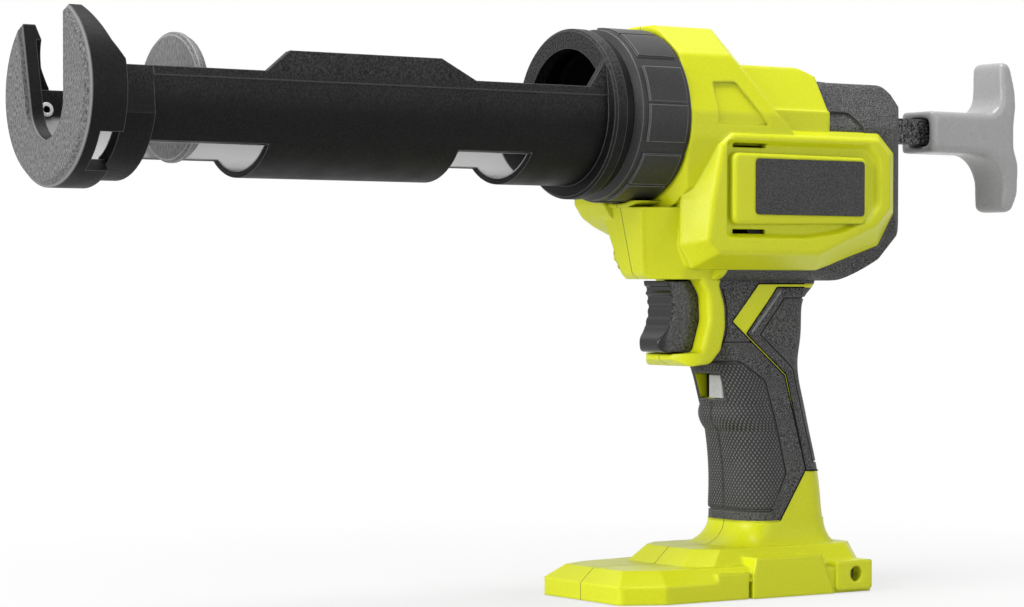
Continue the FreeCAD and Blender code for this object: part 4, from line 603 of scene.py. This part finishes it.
gap_black = moulded("gap_black", (0.003, 0.003, 0.003), (0.006, 0.006, 0.006), (0.6, 0.8), grain=2400, lift=0.00002,
                    edge=0.0002, shine=0.1, crease=0)
bevel_grey = moulded("bevel_grey", (0.13, 0.13, 0.131), (0.24, 0.24, 0.242), (0.4, 0.5), grain=1400, lift=0.0001,
                     edge=0.0002, shine=0.3, crease=0)
gaps = threads_on_grip("shadow_gaps", (SLEEVE_BORDER, STRAP_BORDER, GUARD_BORDER), GAP_R, GAP_SINK, gap_black)
bevel = threads_on_grip("strap_bevel", (STRAP_BEVEL,), BEVEL_R, BEVEL_SINK, bevel_grey)
print("shadow gaps:", len(gaps.data.polygons), "quads, bevel:", len(bevel.data.polygons))

# %% [markdown]
# ## Lip of the lock window
# The button slides across a window in the front of the grip, and the shell shows as a lime strip beside it.
# Two thin lips line the window's ends, inside the gap that the button leaves, and a dark plate at the back stands in
# for the shade deep in the window.

# %% Lip of the lock window
LIP_SIDE = [(3.9, 79.7), (0.5, 89.8), (7.0, 89.8), (7.0, 79.7)]
BACK_SIDE = [(7.0, 79.7), (7.0, 89.8), (7.1, 89.8), (7.1, 79.7)]
LIP_Y, BACK_HALF_Y = (8.24, 8.38), 8.2
BOX_FACES = np.array([(0, 1, 2, 3), (7, 6, 5, 4), (0, 4, 5, 1), (1, 5, 6, 2), (2, 6, 7, 3), (3, 7, 4, 0)])


def thin_box(side_view, low_y, high_y):
    """Eight corners: a four-cornered side view at two places across the tool."""
    return np.array([(x, y, z) for y in (low_y, high_y) for x, z in side_view]) * MM


both_lips = np.concatenate([thin_box(LIP_SIDE, *LIP_Y), thin_box(LIP_SIDE, -LIP_Y[1], -LIP_Y[0])])
both_faces = np.concatenate([BOX_FACES, BOX_FACES + 8])
lips = mesh_piece("window_lips", both_lips, both_faces, lime, "housing")
shade_plate = mesh_piece("window_back_shade", thin_box(BACK_SIDE, -BACK_HALF_Y, BACK_HALF_Y), BOX_FACES, gap_black,
                        "housing")
for plate in (lips, shade_plate):
    plate.data.polygons.foreach_set("use_smooth", np.zeros(len(plate.data.polygons), dtype=bool))
print("window:", len(lips.data.polygons) + len(shade_plate.data.polygons), "faces")

# %% [markdown]
# ## Softened mouldings
# The pull handle and the trigger are chunky mouldings with no sharp edge left on them.
# Rounding every edge in the solid would be slow, so a copy of the solid is filled with small voxels and
# smoothed: the remesh keeps the size and the smoothing melts the edges.

# %% Softened mouldings
MERGE_DISTANCE = 1e-6
SIDEWAYS_BAND = (0.86, 0.97)   # how squarely a face looks sideways before it is grained


def softened(name, node, body, finish, voxel, rounds):
    """A merged copy of a solid, remeshed in voxels of a given size and smoothed so many times. It rides on
    the solid's body and takes its place in the picture."""
    mesh = bpy.data.meshes.new(name)
    copy = bmesh.new()
    copy.from_mesh(nodes[node].data)
    bmesh.ops.remove_doubles(copy, verts=copy.verts, dist=MERGE_DISTANCE)
    copy.to_mesh(mesh)
    copy.free()
    mesh.materials.clear()
    mesh.materials.append(finish)
    piece = bpy.data.objects.new(name, mesh)
    scene.collection.objects.link(piece)
    skin = piece.modifiers.new("voxels", "REMESH")
    skin.mode = "VOXEL"
    skin.voxel_size = voxel
    skin.use_smooth_shade = True
    melt = piece.modifiers.new("melt", "SMOOTH")
    melt.factor = 0.5
    melt.iterations = rounds
    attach(piece, body)
    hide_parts(node)


trigger_sides = trigger_black.copy()
trigger_sides.name = "grained_trigger"
tree = trigger_sides.node_tree
facing = tree.nodes.new("ShaderNodeSeparateXYZ")
tree.links.new(tree.nodes.new("ShaderNodeNewGeometry").outputs["Normal"], facing.inputs[0])
sideways = span(tree, maths(tree, "ABSOLUTE", facing.outputs["Y"]), *SIDEWAYS_BAND)
flecks = drift(tree, where_on(tree), 1350, 3, 0, 1, band=(0.36, 0.66))
recolour(trigger_sides, sideways, blend_colour(tree, flecks, (0.006, 0.006, 0.006), (0.075, 0.075, 0.077)))
softened("soft_handle", "pull_handle", "rod", handle_grey, voxel=0.0007, rounds=18)
softened("soft_trigger", "trigger", "trigger", trigger_sides, voxel=0.0003, rounds=8)
print("softened the handle and the trigger")
